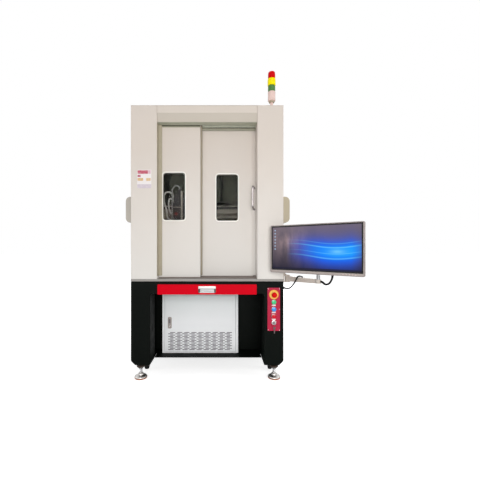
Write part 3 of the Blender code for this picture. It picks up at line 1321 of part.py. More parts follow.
def grille_places():
    """Slot centres of the staggered grille: every second row is shifted along."""
    return [
        (GRILLE_LEFT + GRILLE_SLOT_LENGTH / 2 + GRILLE_PERIOD * column + GRILLE_STAGGER * (row % 2),
         GRILLE_LOW_Z + GRILLE_ROW_PITCH * row)
        for row in range(GRILLE_ROWS) for column in range(GRILLE_COLUMNS)
    ]


def cooling_door():
    """A pan door with the staggered grille, on two pins in the housing's strips."""
    left, right, bottom, top = cooler_door_edges()
    hinge_x, hinge_y = right - COOLER_HINGE_INSET, COOLER_FRONT + COOLER_HINGE_INSET
    hinge = empty("cooler_door_hinge", (hinge_x, hinge_y, 0), ROOT)
    back = COOLER_DOOR_THICKNESS - COOLER_HINGE_INSET
    front = -COOLER_HINGE_INSET
    outline = [
        (left - hinge_x, front), *arc((0, 0), COOLER_HINGE_INSET, -90, 0),
        (right - hinge_x, back), (left - hinge_x, back),
    ]
    door = extrude("cooler_door", [outline], "XY", bottom, top, COOLER_PAINT, hinge)
    rim = COOLER_HINGE_INSET * 2
    pan = block("pan", (left - hinge_x + rim, front + COOLER_DOOR_SHEET, bottom + rim),
                (right - hinge_x - rim, back + OVERRUN, top - rim), parent=hinge)
    slots = slot_pattern("grille_slots", [(x - hinge_x, z) for x, z in grille_places()],
                         (GRILLE_SLOT_LENGTH, GRILLE_SLOT_HEIGHT), front, OVERRUN, hinge)
    cut(door, pan, slots)
    pins = [
        rod("door_pin", (0, 0, bottom - COOLER_PIN_LENGTH), (0, 0, bottom + BITE), COOLER_PIN_RADIUS,
            parent=hinge),
        rod("door_pin", (0, 0, top - BITE), (0, 0, top + COOLER_PIN_LENGTH), COOLER_PIN_RADIUS, parent=hinge),
    ]
    x = LOCK_X - hinge_x
    half = LOCK_WIDTH / 2
    middle = (LOCK_LOW_Z + LOCK_HIGH_Z) / 2
    outer = rounded_rectangle((x - half, LOCK_LOW_Z), (x + half, LOCK_HIGH_Z), half * LOCK_CORNER_SHARE)
    inner_half = half - LOCK_BORDER
    inner = rounded_rectangle((x - inner_half, LOCK_LOW_Z + LOCK_BORDER),
                              (x + inner_half, LOCK_HIGH_Z - LOCK_BORDER),
                              inner_half * LOCK_CORNER_SHARE)
    escutcheon = extrude("escutcheon", [outer, inner], "XZ", front - LOCK_FRAME_HEIGHT, front + BITE,
                         parent=hinge)
    join(door, *pins, escutcheon)
    lock_lever(hinge, x, front, inner_half, middle)


def lock_lever(hinge, x, front, inner_half, middle):
    """The lever that lies in the escutcheon and turns about the door's lock."""
    pivot = empty("cooler_lock_turn", (x, front, middle), hinge)
    half_width = inner_half - RUNNING_GAP
    half_height = (LOCK_HIGH_Z - LOCK_LOW_Z) / 2 - LOCK_BORDER - RUNNING_GAP
    outline = rounded_rectangle((-half_width, -half_height), (half_width, half_height),
                                half_width * LOCK_CORNER_SHARE)
    back = -LOCK_FRAME_HEIGHT - SEAT_GAP
    lever = extrude("cooler_lock_lever", [outline], "XZ", back - LOCK_LEVER_THICKNESS, back, DARK_METAL,
                    pivot)
    soften(lever, LOCK_LEVER_EDGE)
    join(lever, rod("lock_spindle", (0, back - BITE, 0), (0, -SEAT_GAP, 0), LOCK_PIVOT_RADIUS, parent=pivot))


# Inside the cabinet

def machine_bed():
    """A slab with two side walls that carry the gantry rails."""
    half = BED_WIDTH / 2
    slab_top = SHELL_BOTTOM + BED_SLAB_HEIGHT
    wall_top = SHELL_BOTTOM + BED_WALL_HEIGHT
    rail_left = half - BED_WALL_WIDTH / 2 - BED_RAIL_WIDTH / 2
    rail_top = wall_top + BED_RAIL_HEIGHT
    rail_right = rail_left + BED_RAIL_WIDTH
    outline = mirrored([
        (half - BED_WALL_WIDTH, slab_top), (half - BED_WALL_WIDTH, wall_top),
        (rail_left, wall_top), (rail_left, rail_top), (rail_right, rail_top), (rail_right, wall_top),
        (half, wall_top), (half, SHELL_BOTTOM),
    ])
    extrude("machine_bed", [outline], "XZ", BED_FRONT, BED_FRONT + BED_LENGTH, ALUMINIUM)
    return slab_top, rail_left, rail_top


def work_table(slab_top):
    """A rim on four feet, with upright slats across it."""
    bottom = slab_top + SEAT_GAP
    top = bottom + TABLE_HEIGHT
    half = TABLE_WIDTH / 2
    front = BED_FRONT + (BED_LENGTH - TABLE_LENGTH) / 2
    rear = front + TABLE_LENGTH
    outer = [(-half, front), (half, front), (half, rear), (-half, rear)]
    inset = half - TABLE_RIM
    inner = [(-inset, front + TABLE_RIM), (inset, front + TABLE_RIM), (inset, rear - TABLE_RIM),
             (-inset, rear - TABLE_RIM)]
    table = extrude("work_table", [outer, inner], "XY", top - SLAT_HEIGHT, top, STEEL)
    for x in (-half, half - TABLE_FOOT):
        for y in (front, rear - TABLE_FOOT):
            join(table, block("table_foot", (x, y, bottom),
                              (x + TABLE_FOOT, y + TABLE_FOOT, top - SLAT_HEIGHT + BITE)))
    pitch = (2 * inset) / (TABLE_SLATS + 1)
    for i in range(TABLE_SLATS):
        x = pitch * (i + 1) - inset
        join(table, block("slat", (x - SLAT_THICKNESS / 2, front + TABLE_RIM - BITE,
                                   top - SLAT_HEIGHT + SLAT_THICKNESS),
                          (x + SLAT_THICKNESS / 2, rear - TABLE_RIM + BITE, top - BITE)))
    return top


def gantry(rail_left, rail_top):
    """The beam, on a block over each rail, with a rail along its front for the carriage."""
    slide = empty("gantry_slide", (0, GANTRY_Y, 0), ROOT)
    low = rail_top + SEAT_GAP
    beam_low = low + GANTRY_BLOCK_HEIGHT
    beam_top = beam_low + GANTRY_HEIGHT
    rail_middle = rail_left + BED_RAIL_WIDTH / 2
    reach = rail_middle + GANTRY_BLOCK_WIDTH / 2
    half = GANTRY_DEPTH / 2
    beam = soften(block("gantry_beam", (-reach, -half, beam_low), (reach, half, beam_top), BED_PAINT,
                        slide), FOLD_RADIUS)
    for side in (-1, 1):
        x = side * rail_middle
        join(beam, block("gantry_block", (x - GANTRY_BLOCK_WIDTH / 2, -half + FOLD_RADIUS, low),
                         (x + GANTRY_BLOCK_WIDTH / 2, half - FOLD_RADIUS, beam_low + BITE), parent=slide))
    middle = (beam_low + beam_top) / 2
    rail_reach, rail_half = reach - GANTRY_BLOCK_WIDTH, GANTRY_RAIL_WIDTH / 2
    join(beam, block("gantry_rail", (-rail_reach, -half - GANTRY_RAIL_HEIGHT, middle - rail_half),
                     (rail_reach, -half + BITE, middle + rail_half), parent=slide))
    return slide, beam_low, beam_top


def carriage(slide, beam_low, beam_top):
    """A plate that rides on the beam's rail and carries the head's own rail."""
    travel = empty("carriage_slide", (CARRIAGE_X, 0, 0), slide)
    back = -GANTRY_DEPTH / 2 - GANTRY_RAIL_HEIGHT - SEAT_GAP
    front = back - CARRIAGE_THICKNESS
    half = CARRIAGE_WIDTH / 2
    top = beam_top + CARRIAGE_ABOVE
    plate = soften(block("x_carriage", (-half, front, beam_low), (half, back, top), DARK_METAL, travel),
                   FOLD_RADIUS)
    join(plate, block("head_rail", (-HEAD_RAIL_WIDTH / 2, front - HEAD_RAIL_DEPTH, beam_low + FOLD_RADIUS),
                      (HEAD_RAIL_WIDTH / 2, front + BITE, top - FOLD_RADIUS), parent=travel))
    return travel, front - HEAD_RAIL_DEPTH


def laser_head(travel, rail_face, table_top):
    """A housing with a barrel and nozzle below it and the fibre connector on top."""
    slide = empty("head_slide", (0, 0, HEAD_BODY_LOW_Z), travel)
    half = HEAD_WIDTH / 2
    back = rail_face - SEAT_GAP
    front = back - HEAD_DEPTH
    body = soften(block("laser_head", (-half, front, 0), (half, back, HEAD_BODY_HEIGHT), SILVER_PLASTIC,
                        slide), HEAD_EDGE, 2)
    middle = (front + back) / 2
    nozzle_low = table_top + HEAD_CUT_HEIGHT - HEAD_BODY_LOW_Z
    cone_top = nozzle_low + HEAD_NOZZLE_LENGTH
    barrel = turned("barrel", [
        (0, BITE), (HEAD_BARREL_RADIUS, BITE), (HEAD_BARREL_RADIUS, cone_top),
        (HEAD_NOZZLE_RADIUS, nozzle_low), (0, nozzle_low),
    ], (0, middle, 0), parent=slide, steps=SMALL_STEPS)
    connector_top = HEAD_BODY_HEIGHT + HEAD_FIBRE_HEIGHT
    connector = rod("fibre_connector", (0, middle, HEAD_BODY_HEIGHT - BITE), (0, middle, connector_top),
                    HEAD_FIBRE_RADIUS, parent=slide)
    join(body, barrel, connector)
    hose_x = -half - HOSE_RADIUS * 3
    hose_low = cone_top / 2
    barrel_side = -HEAD_BARREL_RADIUS - SEAT_GAP
    route = [
        (barrel_side, middle, hose_low), (barrel_side - HOSE_RADIUS * 2, middle, hose_low),
        (hose_x, middle, hose_low + HOSE_RADIUS * 5), (hose_x, middle, HEAD_BODY_HEIGHT),
        (hose_x, middle, connector_top), (hose_x / 2, middle, connector_top + HOSE_RADIUS * 6),
        (0, middle, connector_top + HOSE_RADIUS * 3), (0, middle, connector_top + SEAT_GAP),
    ]
    tube("head_hose", smooth_route(route, HOSE_RADIUS * 3), HOSE_RADIUS, ALUMINIUM, slide)


def cutting_gear():
    slab_top, rail_left, rail_top = machine_bed()
    table_top = work_table(slab_top)
    slide, beam_low, beam_top = gantry(rail_left, rail_top)
    travel, rail_face = carriage(slide, beam_low, beam_top)
    laser_head(travel, rail_face, table_top)


# Monitor arm and monitor

def arm_bracket():
    """A plate on the side wall, with two lugs, a gusset over them and the arm's pin."""
    wall = HALF_WIDTH + SEAT_GAP
    arm_low = ARM_TOP_Z - ARM_ROOT_HEIGHT
    lug_low = arm_low - SEAT_GAP - LUG_THICKNESS
    lug_high = ARM_TOP_Z + SEAT_GAP + LUG_THICKNESS
    low_y = ARM_PIN_Y - BRACKET_DEPTH / 3
    plate = block("arm_bracket", (wall, low_y, lug_low),
                  (wall + BRACKET_THICKNESS, low_y + BRACKET_DEPTH, lug_low + BRACKET_HEIGHT), CREAM)
    root = wall + BRACKET_THICKNESS - BITE
    lug = [(root, ARM_PIN_Y - LUG_RADIUS), *arc((ARM_PIN_X, ARM_PIN_Y), LUG_RADIUS, -90, 90, ARC_STEPS * 2),
           (root, ARM_PIN_Y + LUG_RADIUS)]
    lower = extrude("lower_lug", [lug], "XY", lug_low, lug_low + LUG_THICKNESS)
    upper = extrude("upper_lug", [lug], "XY", lug_high - LUG_THICKNESS, lug_high)
    gusset = extrude("gusset", [[(root, lug_high - BITE), (ARM_PIN_X, lug_high - BITE),
                                 (root, lug_low + BRACKET_HEIGHT)]],
                     "XZ", ARM_PIN_Y + LUG_RADIUS - GUSSET_THICKNESS, ARM_PIN_Y + LUG_RADIUS)
    pin = rod("arm_pin", (ARM_PIN_X, ARM_PIN_Y, lug_low), (ARM_PIN_X, ARM_PIN_Y, lug_high), ARM_PIN_RADIUS)
    head = rod("pin_head", (ARM_PIN_X, ARM_PIN_Y, lug_high - BITE),
               (ARM_PIN_X, ARM_PIN_Y, lug_high + ARM_PIN_HEAD_HEIGHT), ARM_PIN_HEAD_RADIUS)
    join(plate, lower, upper, gusset, pin, head)


def monitor_arm():
    """A tapering arm with a hub round the pin and a hub that holds the post."""
    across = Vector((POST_X - ARM_PIN_X, POST_Y - ARM_PIN_Y, 0))
    length = across.length
    pivot = empty("arm_swing", (ARM_PIN_X, ARM_PIN_Y, 0), ROOT, math.atan2(across.y, across.x))
    root_low, tip_low = ARM_TOP_Z - ARM_ROOT_HEIGHT, ARM_TOP_Z - ARM_TIP_HEIGHT
    half = ARM_WIDTH / 2
    arm = extrude("monitor_arm", [[(0, root_low), (length, tip_low), (length, ARM_TOP_Z), (0, ARM_TOP_Z)]],
                  "XZ", -half, half, CREAM, pivot)
    hubs = [
        rod("root_hub", (0, 0, root_low), (0, 0, ARM_TOP_Z), ARM_ROOT_RADIUS, parent=pivot,
            steps=ROUND_STEPS),
        rod("tip_hub", (length, 0, tip_low), (length, 0, ARM_TOP_Z), ARM_TIP_RADIUS, parent=pivot,
            steps=ROUND_STEPS),
    ]
    join(arm, *hubs)
    cut(arm,
        rod("pin_bore", (0, 0, root_low - OVERRUN), (0, 0, ARM_TOP_Z + OVERRUN),
            bore_radius(ARM_PIN_RADIUS, SMALL_STEPS), parent=pivot),
        rod("post_bore", (length, 0, tip_low - OVERRUN), (length, 0, ARM_TOP_Z + OVERRUN),
            bore_radius(POST_RADIUS, ROUND_STEPS), parent=pivot, steps=ROUND_STEPS))
    collar_top = SLEEVE_LOW_Z - SEAT_GAP
    collar_low = collar_top - POST_COLLAR_HEIGHT
    turned("monitor_post", [
        (0, POST_TOP_Z), (POST_RADIUS, POST_TOP_Z), (POST_RADIUS, collar_top),
        (POST_COLLAR_RADIUS, collar_top), (POST_COLLAR_RADIUS, collar_low), (POST_RADIUS, collar_low),
        (POST_RADIUS, tip_low), (0, tip_low),
    ], (length, 0, 0), surface=STEEL, parent=pivot)


def monitor():
    """Housing with a recessed screen, and a sleeve on its back that turns on the post.

    It hangs from the root, so that its yaw is measured in the room and not from the arm.
    """
    pivot = empty("monitor_swivel", (POST_X, POST_Y, 0), ROOT, MONITOR_YAW)
    left, right = MONITOR_OFFSET - MONITOR_WIDTH / 2, MONITOR_OFFSET + MONITOR_WIDTH / 2
    top = MONITOR_LOW_Z + MONITOR_HEIGHT
    back = MONITOR_FRONT + MONITOR_THICKNESS
    outline = rounded_rectangle((left, MONITOR_LOW_Z), (right, top), MONITOR_RADIUS)
    housing = extrude("monitor_housing", [outline], "XZ", MONITOR_FRONT, back, SILVER_PLASTIC, pivot)
    soften(housing, FOLD_RADIUS)
    low = (left + BEZEL_SIDE, MONITOR_LOW_Z + BEZEL_BOTTOM)
    high = (right - BEZEL_SIDE, top - BEZEL_TOP)
    recess = block("screen_recess", (low[0], MONITOR_FRONT - OVERRUN, low[1]),
                   (high[0], MONITOR_FRONT + SCREEN_RECESS + SEAT_GAP, high[1]), parent=pivot)
    middle = (MONITOR_LOW_Z + top) / 2
    reach = MOUNT_PLATE / 2
    plate = block("mount_plate", (MONITOR_OFFSET - reach, back - BITE, middle - reach),
                  (MONITOR_OFFSET + reach, back + MOUNT_PLATE_THICKNESS, middle + reach), parent=pivot)
    sleeve = rod("sleeve", (0, 0, SLEEVE_LOW_Z), (0, 0, SLEEVE_LOW_Z + SLEEVE_HEIGHT), SLEEVE_RADIUS,
                 parent=pivot, steps=ROUND_STEPS)
    bore = rod("sleeve_bore", (0, 0, SLEEVE_LOW_Z - OVERRUN), (0, 0, SLEEVE_LOW_Z + SLEEVE_HEIGHT + OVERRUN),
               bore_radius(POST_RADIUS, ROUND_STEPS), parent=pivot, steps=ROUND_STEPS)
    socket = block("cable_socket", (SOCKET_X - SOCKET_WIDTH / 2, back - BITE, SOCKET_LOW_Z),
                   (SOCKET_X + SOCKET_WIDTH / 2, back + SOCKET_DEPTH, SOCKET_LOW_Z + SOCKET_HEIGHT),
                   parent=pivot)
    join(housing, plate, sleeve, socket)
    way = POST_COLLAR_RADIUS + SHAFT_GAP
    clear = block("post_way", (-way, -way, MONITOR_LOW_Z - OVERRUN), (way, way, SLEEVE_LOW_Z), parent=pivot)
    cut(housing, bore, recess, clear)
    screen_back = MONITOR_FRONT + SCREEN_RECESS
    block("monitor_screen", (low[0] + SEAT_GAP, screen_back - SCREEN_THICKNESS, low[1] + SEAT_GAP),
          (high[0] - SEAT_GAP, screen_back, high[1] - SEAT_GAP), SCREEN_GLASS, pivot)


# Cables

def cables():
    """Two cables, with routes measured from the cabinet's side and from the post."""
    for name, start, route, radius in (
        ("arm_cable", (HALF_WIDTH, 0, 0), ARM_CABLE_ROUTE, ARM_CABLE_RADIUS),
        ("monitor_cable", (POST_X, POST_Y, 0), MONITOR_CABLE_ROUTE, MONITOR_CABLE_RADIUS),
    ):
        points = [Vector(start) + Vector(p) for p in route]
        tube(name, smooth_route(points, CABLE_POINT_SPACING), radius, BLACK_RUBBER)


def set_origin():
    """Moves the root so that the origin is the middle of the meshes' box, at the floor."""
    bpy.context.view_layer.update()
    graph = bpy.context.evaluated_depsgraph_get()
    points = [
        obj.matrix_world @ vertex.co
        for obj in PARTS.objects if obj.type == "MESH"
        for vertex in obj.evaluated_get(graph).data.vertices
    ]
    low = [min(p[i] for p in points) for i in range(3)]
    high = [max(p[i] for p in points) for i in range(3)]
    ROOT.location = (-(low[0] + high[0]) / 2, -(low[1] + high[1]) / 2, -low[2])


def build():
    base_frame()
    recess_liner()
    bed_plate()
    levelling_feet()
    casters()
    cabinet_wall("cabinet_wall_left", -1, FIXED_LEAF_FRONT - SEAT_GAP)
    cabinet_wall("cabinet_wall_right", 1, SLIDING_DOOR_FRONT - RUNNING_GAP)
    header_cover()
    roof_panel()
    cabinet_rear_panel()
    door_tracks()
    door_leaves()
    side_covers()
    signal_tower()
    keyboard_drawer()
    controls()
    cooling_housing()
    cooling_door()
    cutting_gear()
    arm_bracket()
    monitor_arm()
    monitor()
    cables()
    set_origin()


build()
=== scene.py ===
# %% [markdown]
# # Looks of an enclosed laser cutting machine
# The machine is a cream sheet-metal cabinet on a black welded base. Its solids come packed from CAD, and
# this lesson dresses them: each solid gets a real finish, and small pieces that CAD leaves out are modelled
# on top. The first cell loads the solids.

# %% Load the machine
import json
import math

import bmesh
import bpy
from mathutils import Matrix, Vector

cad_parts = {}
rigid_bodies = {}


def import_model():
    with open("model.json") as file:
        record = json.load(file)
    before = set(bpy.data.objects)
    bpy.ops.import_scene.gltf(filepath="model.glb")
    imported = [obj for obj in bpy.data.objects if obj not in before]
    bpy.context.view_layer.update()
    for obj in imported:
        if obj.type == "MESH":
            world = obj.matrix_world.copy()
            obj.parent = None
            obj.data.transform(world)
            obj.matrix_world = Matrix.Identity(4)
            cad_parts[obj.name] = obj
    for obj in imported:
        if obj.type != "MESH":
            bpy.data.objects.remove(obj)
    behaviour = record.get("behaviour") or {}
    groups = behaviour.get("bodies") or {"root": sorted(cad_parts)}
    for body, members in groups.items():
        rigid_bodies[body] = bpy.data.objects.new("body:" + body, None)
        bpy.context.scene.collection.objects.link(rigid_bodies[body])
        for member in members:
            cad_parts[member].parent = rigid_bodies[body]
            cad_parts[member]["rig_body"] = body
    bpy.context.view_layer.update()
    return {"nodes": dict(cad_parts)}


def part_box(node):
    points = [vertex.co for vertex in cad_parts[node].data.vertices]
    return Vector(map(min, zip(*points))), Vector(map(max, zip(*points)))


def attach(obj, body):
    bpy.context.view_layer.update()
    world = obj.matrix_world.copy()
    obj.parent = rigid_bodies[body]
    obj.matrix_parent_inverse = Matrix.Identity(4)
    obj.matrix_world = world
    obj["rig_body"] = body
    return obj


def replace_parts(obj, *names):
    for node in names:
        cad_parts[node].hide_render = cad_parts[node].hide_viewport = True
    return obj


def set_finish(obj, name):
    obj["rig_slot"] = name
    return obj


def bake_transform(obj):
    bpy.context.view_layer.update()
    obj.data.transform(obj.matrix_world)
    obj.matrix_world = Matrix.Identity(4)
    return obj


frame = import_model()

nodes = frame["nodes"]

# %% [markdown]
# ## Where things are
# Sizes are easiest to read from the cabinet itself: across from its middle, back from its front face and
# up from the floor. The bed plate under the cabinet has exactly the cabinet's outline, so its box gives
# the middle and the front face, and one helper turns cabinet places into places in the scene.

# %% Cabinet places
bed_low, bed_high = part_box("bed_plate")
CABINET_MIDDLE = (bed_low[0] + bed_high[0]) / 2
CABINET_FRONT = bed_low[1]


def at(x, y, z):
    return Vector((x + CABINET_MIDDLE, y + CABINET_FRONT, z))


ZERO = at(0, 0, 0)
print("cabinet middle", round(CABINET_MIDDLE, 4), "front", round(CABINET_FRONT, 4))

# %% [markdown]
# ## Camera
# The photograph was taken close to the machine with a wide lens held level, because upright edges stay
# upright while the sides of the knee space run together quickly. A level camera with a small lens shift
# gives the same picture: the shift moves the frame and keeps the uprights parallel.

# %% Camera
CAMERA_DISTANCE = 2.1
CAMERA_ACROSS = 0.107
CAMERA_HEIGHT = 0.954
FOCAL_PIXELS = 291.9
SHIFT_PIXELS = (18, 8)
IMAGE_PIXELS = 480
SENSOR_WIDTH = 36

lens = bpy.data.cameras.new("camera")
lens.sensor_width = SENSOR_WIDTH
lens.lens = FOCAL_PIXELS / IMAGE_PIXELS * SENSOR_WIDTH
lens.shift_x, lens.shift_y = (pixels / IMAGE_PIXELS for pixels in SHIFT_PIXELS)
camera = bpy.data.objects.new("camera", lens)
bpy.context.scene.collection.objects.link(camera)
camera.location = at(CAMERA_ACROSS, -CAMERA_DISTANCE, CAMERA_HEIGHT)
camera.rotation_euler = (math.radians(90), 0, 0)
bpy.context.scene.camera = camera
print("lens", round(lens.lens, 2), "mm")

# %% [markdown]
# ## Studio world
# A photo studio wraps a large object in soft light. The world gives two answers: rays that come from the
# camera, or through a reflection or the glass, meet plain white, and all others meet a weaker, cooler
# light that fills the shadows.

# %% Studio world
FILL_STRENGTH = 0.36

scene = bpy.context.scene
scene.view_settings.view_transform = "Standard"
world = bpy.data.worlds.new("studio")
scene.world = world
world.use_nodes = True
sky = world.node_tree
white = sky.nodes["Background"]
white.inputs["Color"].default_value = (1, 1, 1, 1)
white.inputs["Strength"].default_value = 1
fill = sky.nodes.new("ShaderNodeBackground")
fill.inputs["Color"].default_value = (0.97, 0.985, 1, 1)
fill.inputs["Strength"].default_value = FILL_STRENGTH
ray = sky.nodes.new("ShaderNodeLightPath")
meets_white = ray.outputs["Is Camera Ray"]
for kind in ("Is Glossy Ray", "Is Transmission Ray"):
    either = sky.nodes.new("ShaderNodeMath")
    either.operation = "MAXIMUM"
    sky.links.new(meets_white, either.inputs[0])
    sky.links.new(ray.outputs[kind], either.inputs[1])
    meets_white = either.outputs[0]
choice = sky.nodes.new("ShaderNodeMixShader")
for source, socket in zip((meets_white, fill.outputs[0], white.outputs[0]), choice.inputs):
    sky.links.new(source, socket)
sky.links.new(choice.outputs[0], sky.nodes["World Output"].inputs["Surface"])
print("world fills with", FILL_STRENGTH)

# %% [markdown]
# ## Lamps
# A broad lamp in front fills the recess of the doors, and weaker ones hang to the right, to the left,
# behind and above. All of them look at the middle of the machine.

# %% Lamps
LAMP_AIM = Vector((0, 0, 1.0))
LAMPS = {  # place, width and height, watts, colour
    "front_lamp": ((0.3, -5.4, 1.7), (3.4, 2.2), 138, (1, 0.99, 0.97)),
    "right_lamp": ((4.4, -1.6, 2.2), (2.0, 2.6), 45, (1, 0.98, 0.95)),
    "left_lamp": ((-4.4, -1.2, 2.0), (2.0, 2.6), 28, (0.96, 0.98, 1)),
    "rear_lamp": ((0.5, 5.2, 2.4), (3.2, 2.4), 120, (1, 1, 1)),
    "top_lamp": ((0, 0.1, 5.4), (2.4, 2.4), 55, (1, 1, 1)),
}
for name, (place, size, watts, colour) in LAMPS.items():
    data = bpy.data.lights.new(name, "AREA")
    data.shape = "RECTANGLE"
    data.size, data.size_y = size
    data.energy = watts
    data.color = colour
    lamp = bpy.data.objects.new(name, data)
    scene.collection.objects.link(lamp)
    lamp.location = place
    lamp.rotation_euler = (LAMP_AIM - Vector(place)).to_track_quat("-Z", "Y").to_euler()
print("lamps", len(LAMPS))

# %% [markdown]
# ## Floor
# The floor is pale paper. Seen straight from the camera it is lifted to white, as in a catalogue picture,
# and it still darkens under the machine.

# %% Floor
FLOOR_SIZE = 80
FLOOR_LIFT = 0.72

bpy.ops.object.select_all(action="DESELECT")
bpy.ops.mesh.primitive_plane_add(size=FLOOR_SIZE, location=(0, 0, 0))
floor = bpy.context.object
floor.name = "floor"
paper = bpy.data.materials.new("floor_paper")
paper.use_nodes = True
sheet = paper.node_tree
matte = sheet.nodes["Principled BSDF"]
matte.inputs["Base Color"].default_value = (0.80, 0.80, 0.80, 1)
matte.inputs["Roughness"].default_value = 0.9
glow = sheet.nodes.new("ShaderNodeEmission")
glow.inputs["Color"].default_value = (1, 1, 1, 1)
ray = sheet.nodes.new("ShaderNodeLightPath")
lift = sheet.nodes.new("ShaderNodeMath")
lift.operation = "MULTIPLY"
lift.inputs[1].default_value = FLOOR_LIFT
both = sheet.nodes.new("ShaderNodeAddShader")
sheet.links.new(ray.outputs["Is Camera Ray"], lift.inputs[0])
sheet.links.new(lift.outputs[0], glow.inputs["Strength"])
sheet.links.new(matte.outputs[0], both.inputs[0])
sheet.links.new(glow.outputs[0], both.inputs[1])
sheet.links.new(both.outputs[0], sheet.nodes["Material Output"].inputs["Surface"])
floor.data.materials.append(paper)
print("floor", FLOOR_SIZE, "m wide")

# %% [markdown]
# ## Material helpers
# Every finish starts from one Principled shader and is kept by its name. Colours are written the way a
# paint chart does, from 0 to 255. A recipe adds nodes with their settings and joins them; a plain number
# or colour is written on the socket itself.

# %% Material helpers
finishes = {}


def chart(red, green, blue):
    def linear(c):
        c /= 255
        return c / 12.92 if c <= 0.04045 else ((c + 0.055) / 1.055) ** 2.4
    return (linear(red), linear(green), linear(blue), 1)


def shade(colour, keep):
    return tuple(c * keep for c in colour[:3]) + (1,)


class Recipe:
    """A material under construction: its shader, its object coordinates and short ways to add nodes."""

    def __init__(self, name):
        material = finishes[name] = bpy.data.materials.new(name)
        material.use_nodes = True
        self.tree = material.node_tree
        self.shader = self.tree.nodes["Principled BSDF"]
        self.place = self.tree.nodes.new("ShaderNodeTexCoord").outputs["Object"]

    def add(self, kind, **values):
        made = self.tree.nodes.new("ShaderNode" + kind)
        for key, value in values.items():
            if hasattr(made, key):
                setattr(made, key, value)
            else:
                made.inputs[key.replace("_", " ")].default_value = value
        return made

    def join(self, value, socket):
        """Links an output to a socket, or writes a number or colour into it."""
        if isinstance(value, (int, float, tuple)):
            socket.default_value = value
        else:
            self.tree.links.new(value, socket)

    def set(self, **values):
        for key, value in values.items():
            self.join(value, self.shader.inputs[key.replace("_", " ")])

    def noise(self, scale, detail=2.0, roughness=0.5, stretch=None):
        made = self.add("TexNoise", Scale=scale, Detail=detail, Roughness=roughness)
        source = self.place
        if stretch:
            squeeze = self.add("Mapping", Scale=stretch)
            self.join(source, squeeze.inputs["Vector"])
            source = squeeze.outputs[0]
        self.join(source, made.inputs["Vector"])
        return made.outputs["Fac"]

    def spread(self, source, low, high, out_low=0.0, out_high=1.0):
        made = self.add("MapRange")
        for value, socket in zip((source, low, high, out_low, out_high), made.inputs):
            self.join(value, socket)
        return made.outputs[0]

    def math(self, operation, *values):
        made = self.add("Math", operation=operation)
        for value, socket in zip(values, made.inputs):
            self.join(value, socket)
        return made.outputs[0]

    def product(self, first, *factors):
        for factor in factors:
            first = self.math("MULTIPLY", first, factor)
        return first

    def within(self, value, low, high):
        """1 where a value lies between two numbers, else 0."""
        return self.product(self.math("GREATER_THAN", value, low), self.math("LESS_THAN", value, high))

    def parted(self):
        """The object coordinates as three values."""
        made = self.add("SeparateXYZ")
        self.join(self.place, made.inputs[0])
        return made.outputs

    def blend(self, share, first, second):
        made = self.add("Mix", data_type="RGBA")
        for value, number in ((share, 0), (first, 6), (second, 7)):
            self.join(value, made.inputs[number])
        return made.outputs[2]

    def softened(self, radius):
        """The normal, rounded along edges."""
        return self.add("Bevel", Radius=radius, samples=4).outputs[0]

    def edges(self, rounded):
        """1 along edges and 0 on flat faces, from how far a rounded normal leans from the true one."""
        lean = self.add("VectorMath", operation="DOT_PRODUCT")
        self.join(rounded, lean.inputs[0])
        self.join(self.add("NewGeometry").outputs["Normal"], lean.inputs[1])
        return self.spread(lean.outputs["Value"], 0.995, 0.86)

    def bump(self, height, strength, distance, normal):
        made = self.add("Bump", Strength=strength, Distance=distance)
        self.join(height, made.inputs["Height"])
        self.join(normal, made.inputs["Normal"])
        self.set(Normal=made.outputs[0])


print("material helpers ready")

# %% [markdown]
# ## Sprayed paint
# Machine enamel is smooth but never perfect: it has the fine ripple that painters call orange peel, a
# slow drift of tone over large panels, a little uneven gloss where hands and dust have been, and thin
# spots along folded edges, which are lighter and on the light paints also a painted highlight. Each of
# these is a noise at its own scale: metres for the drift, centimetres for the gloss and about a millimetre
# for the ripple. Some paints take a second colour by height, which is painted shade.

# %% Sprayed paint
DRIFT_SCALE, GLOSS_SCALE, DUST_SCALE, CHIP_SCALE, RIPPLE_SCALE = 2.2, 16, 38, 130, 520
GRIME = (0.2, 0.19, 0.18, 1)


def sprayed(name, colour, worn_and_highlight, roughness, drift, wear_and_highlight, peel, gloss, high=None, rise=(0.75, 1.75)):
    """Enamel of one colour, or of two where high gives the colour above a rise: shade painted by height."""
    made = Recipe(name)
    colour, worn_and_highlight = chart(*colour), chart(*worn_and_highlight)
    tone = made.spread(made.noise(DRIFT_SCALE, 3), 0.3, 0.7)
    darker = shade(colour, 1 - drift)
    if high:
        # Painted shade by height: the colour turns to the high colour above the rise.
        height = made.spread(made.parted()[2], *rise)
        shade_share = made.math("ADD", height, made.spread(tone, 0, 1, -0.1, 0.1))
        colour = made.blend(made.spread(shade_share, 0, 1), colour, chart(*high))
        darker = made.blend(drift, colour, GRIME)
    base = made.blend(tone, darker, colour)
    dust = made.spread(made.noise(DUST_SCALE, 5, 0.65), 0.52, 0.78, 0, 0.3 * drift)
    base = made.blend(dust, base, worn_and_highlight)
    rounded = made.softened(0.002)
    # Flakes along the edges turn to the lighter worn colour: wear, and on the light paints also a painted
    # highlight along the edges.
    flakes = made.spread(made.noise(CHIP_SCALE, 3, 0.7), 0.42, 0.66, 0, wear_and_highlight)
    chips_and_highlight = made.product(made.edges(rounded), flakes)
    gleam = made.noise(GLOSS_SCALE, 4, 0.6)
    made.set(Base_Color=made.blend(chips_and_highlight, base, worn_and_highlight), Specular_IOR_Level=gloss,
             Roughness=made.spread(gleam, 0.35, 0.7, roughness - 0.07, roughness + 0.08))
    made.bump(made.noise(RIPPLE_SCALE, 2), peel, 0.0006, rounded)


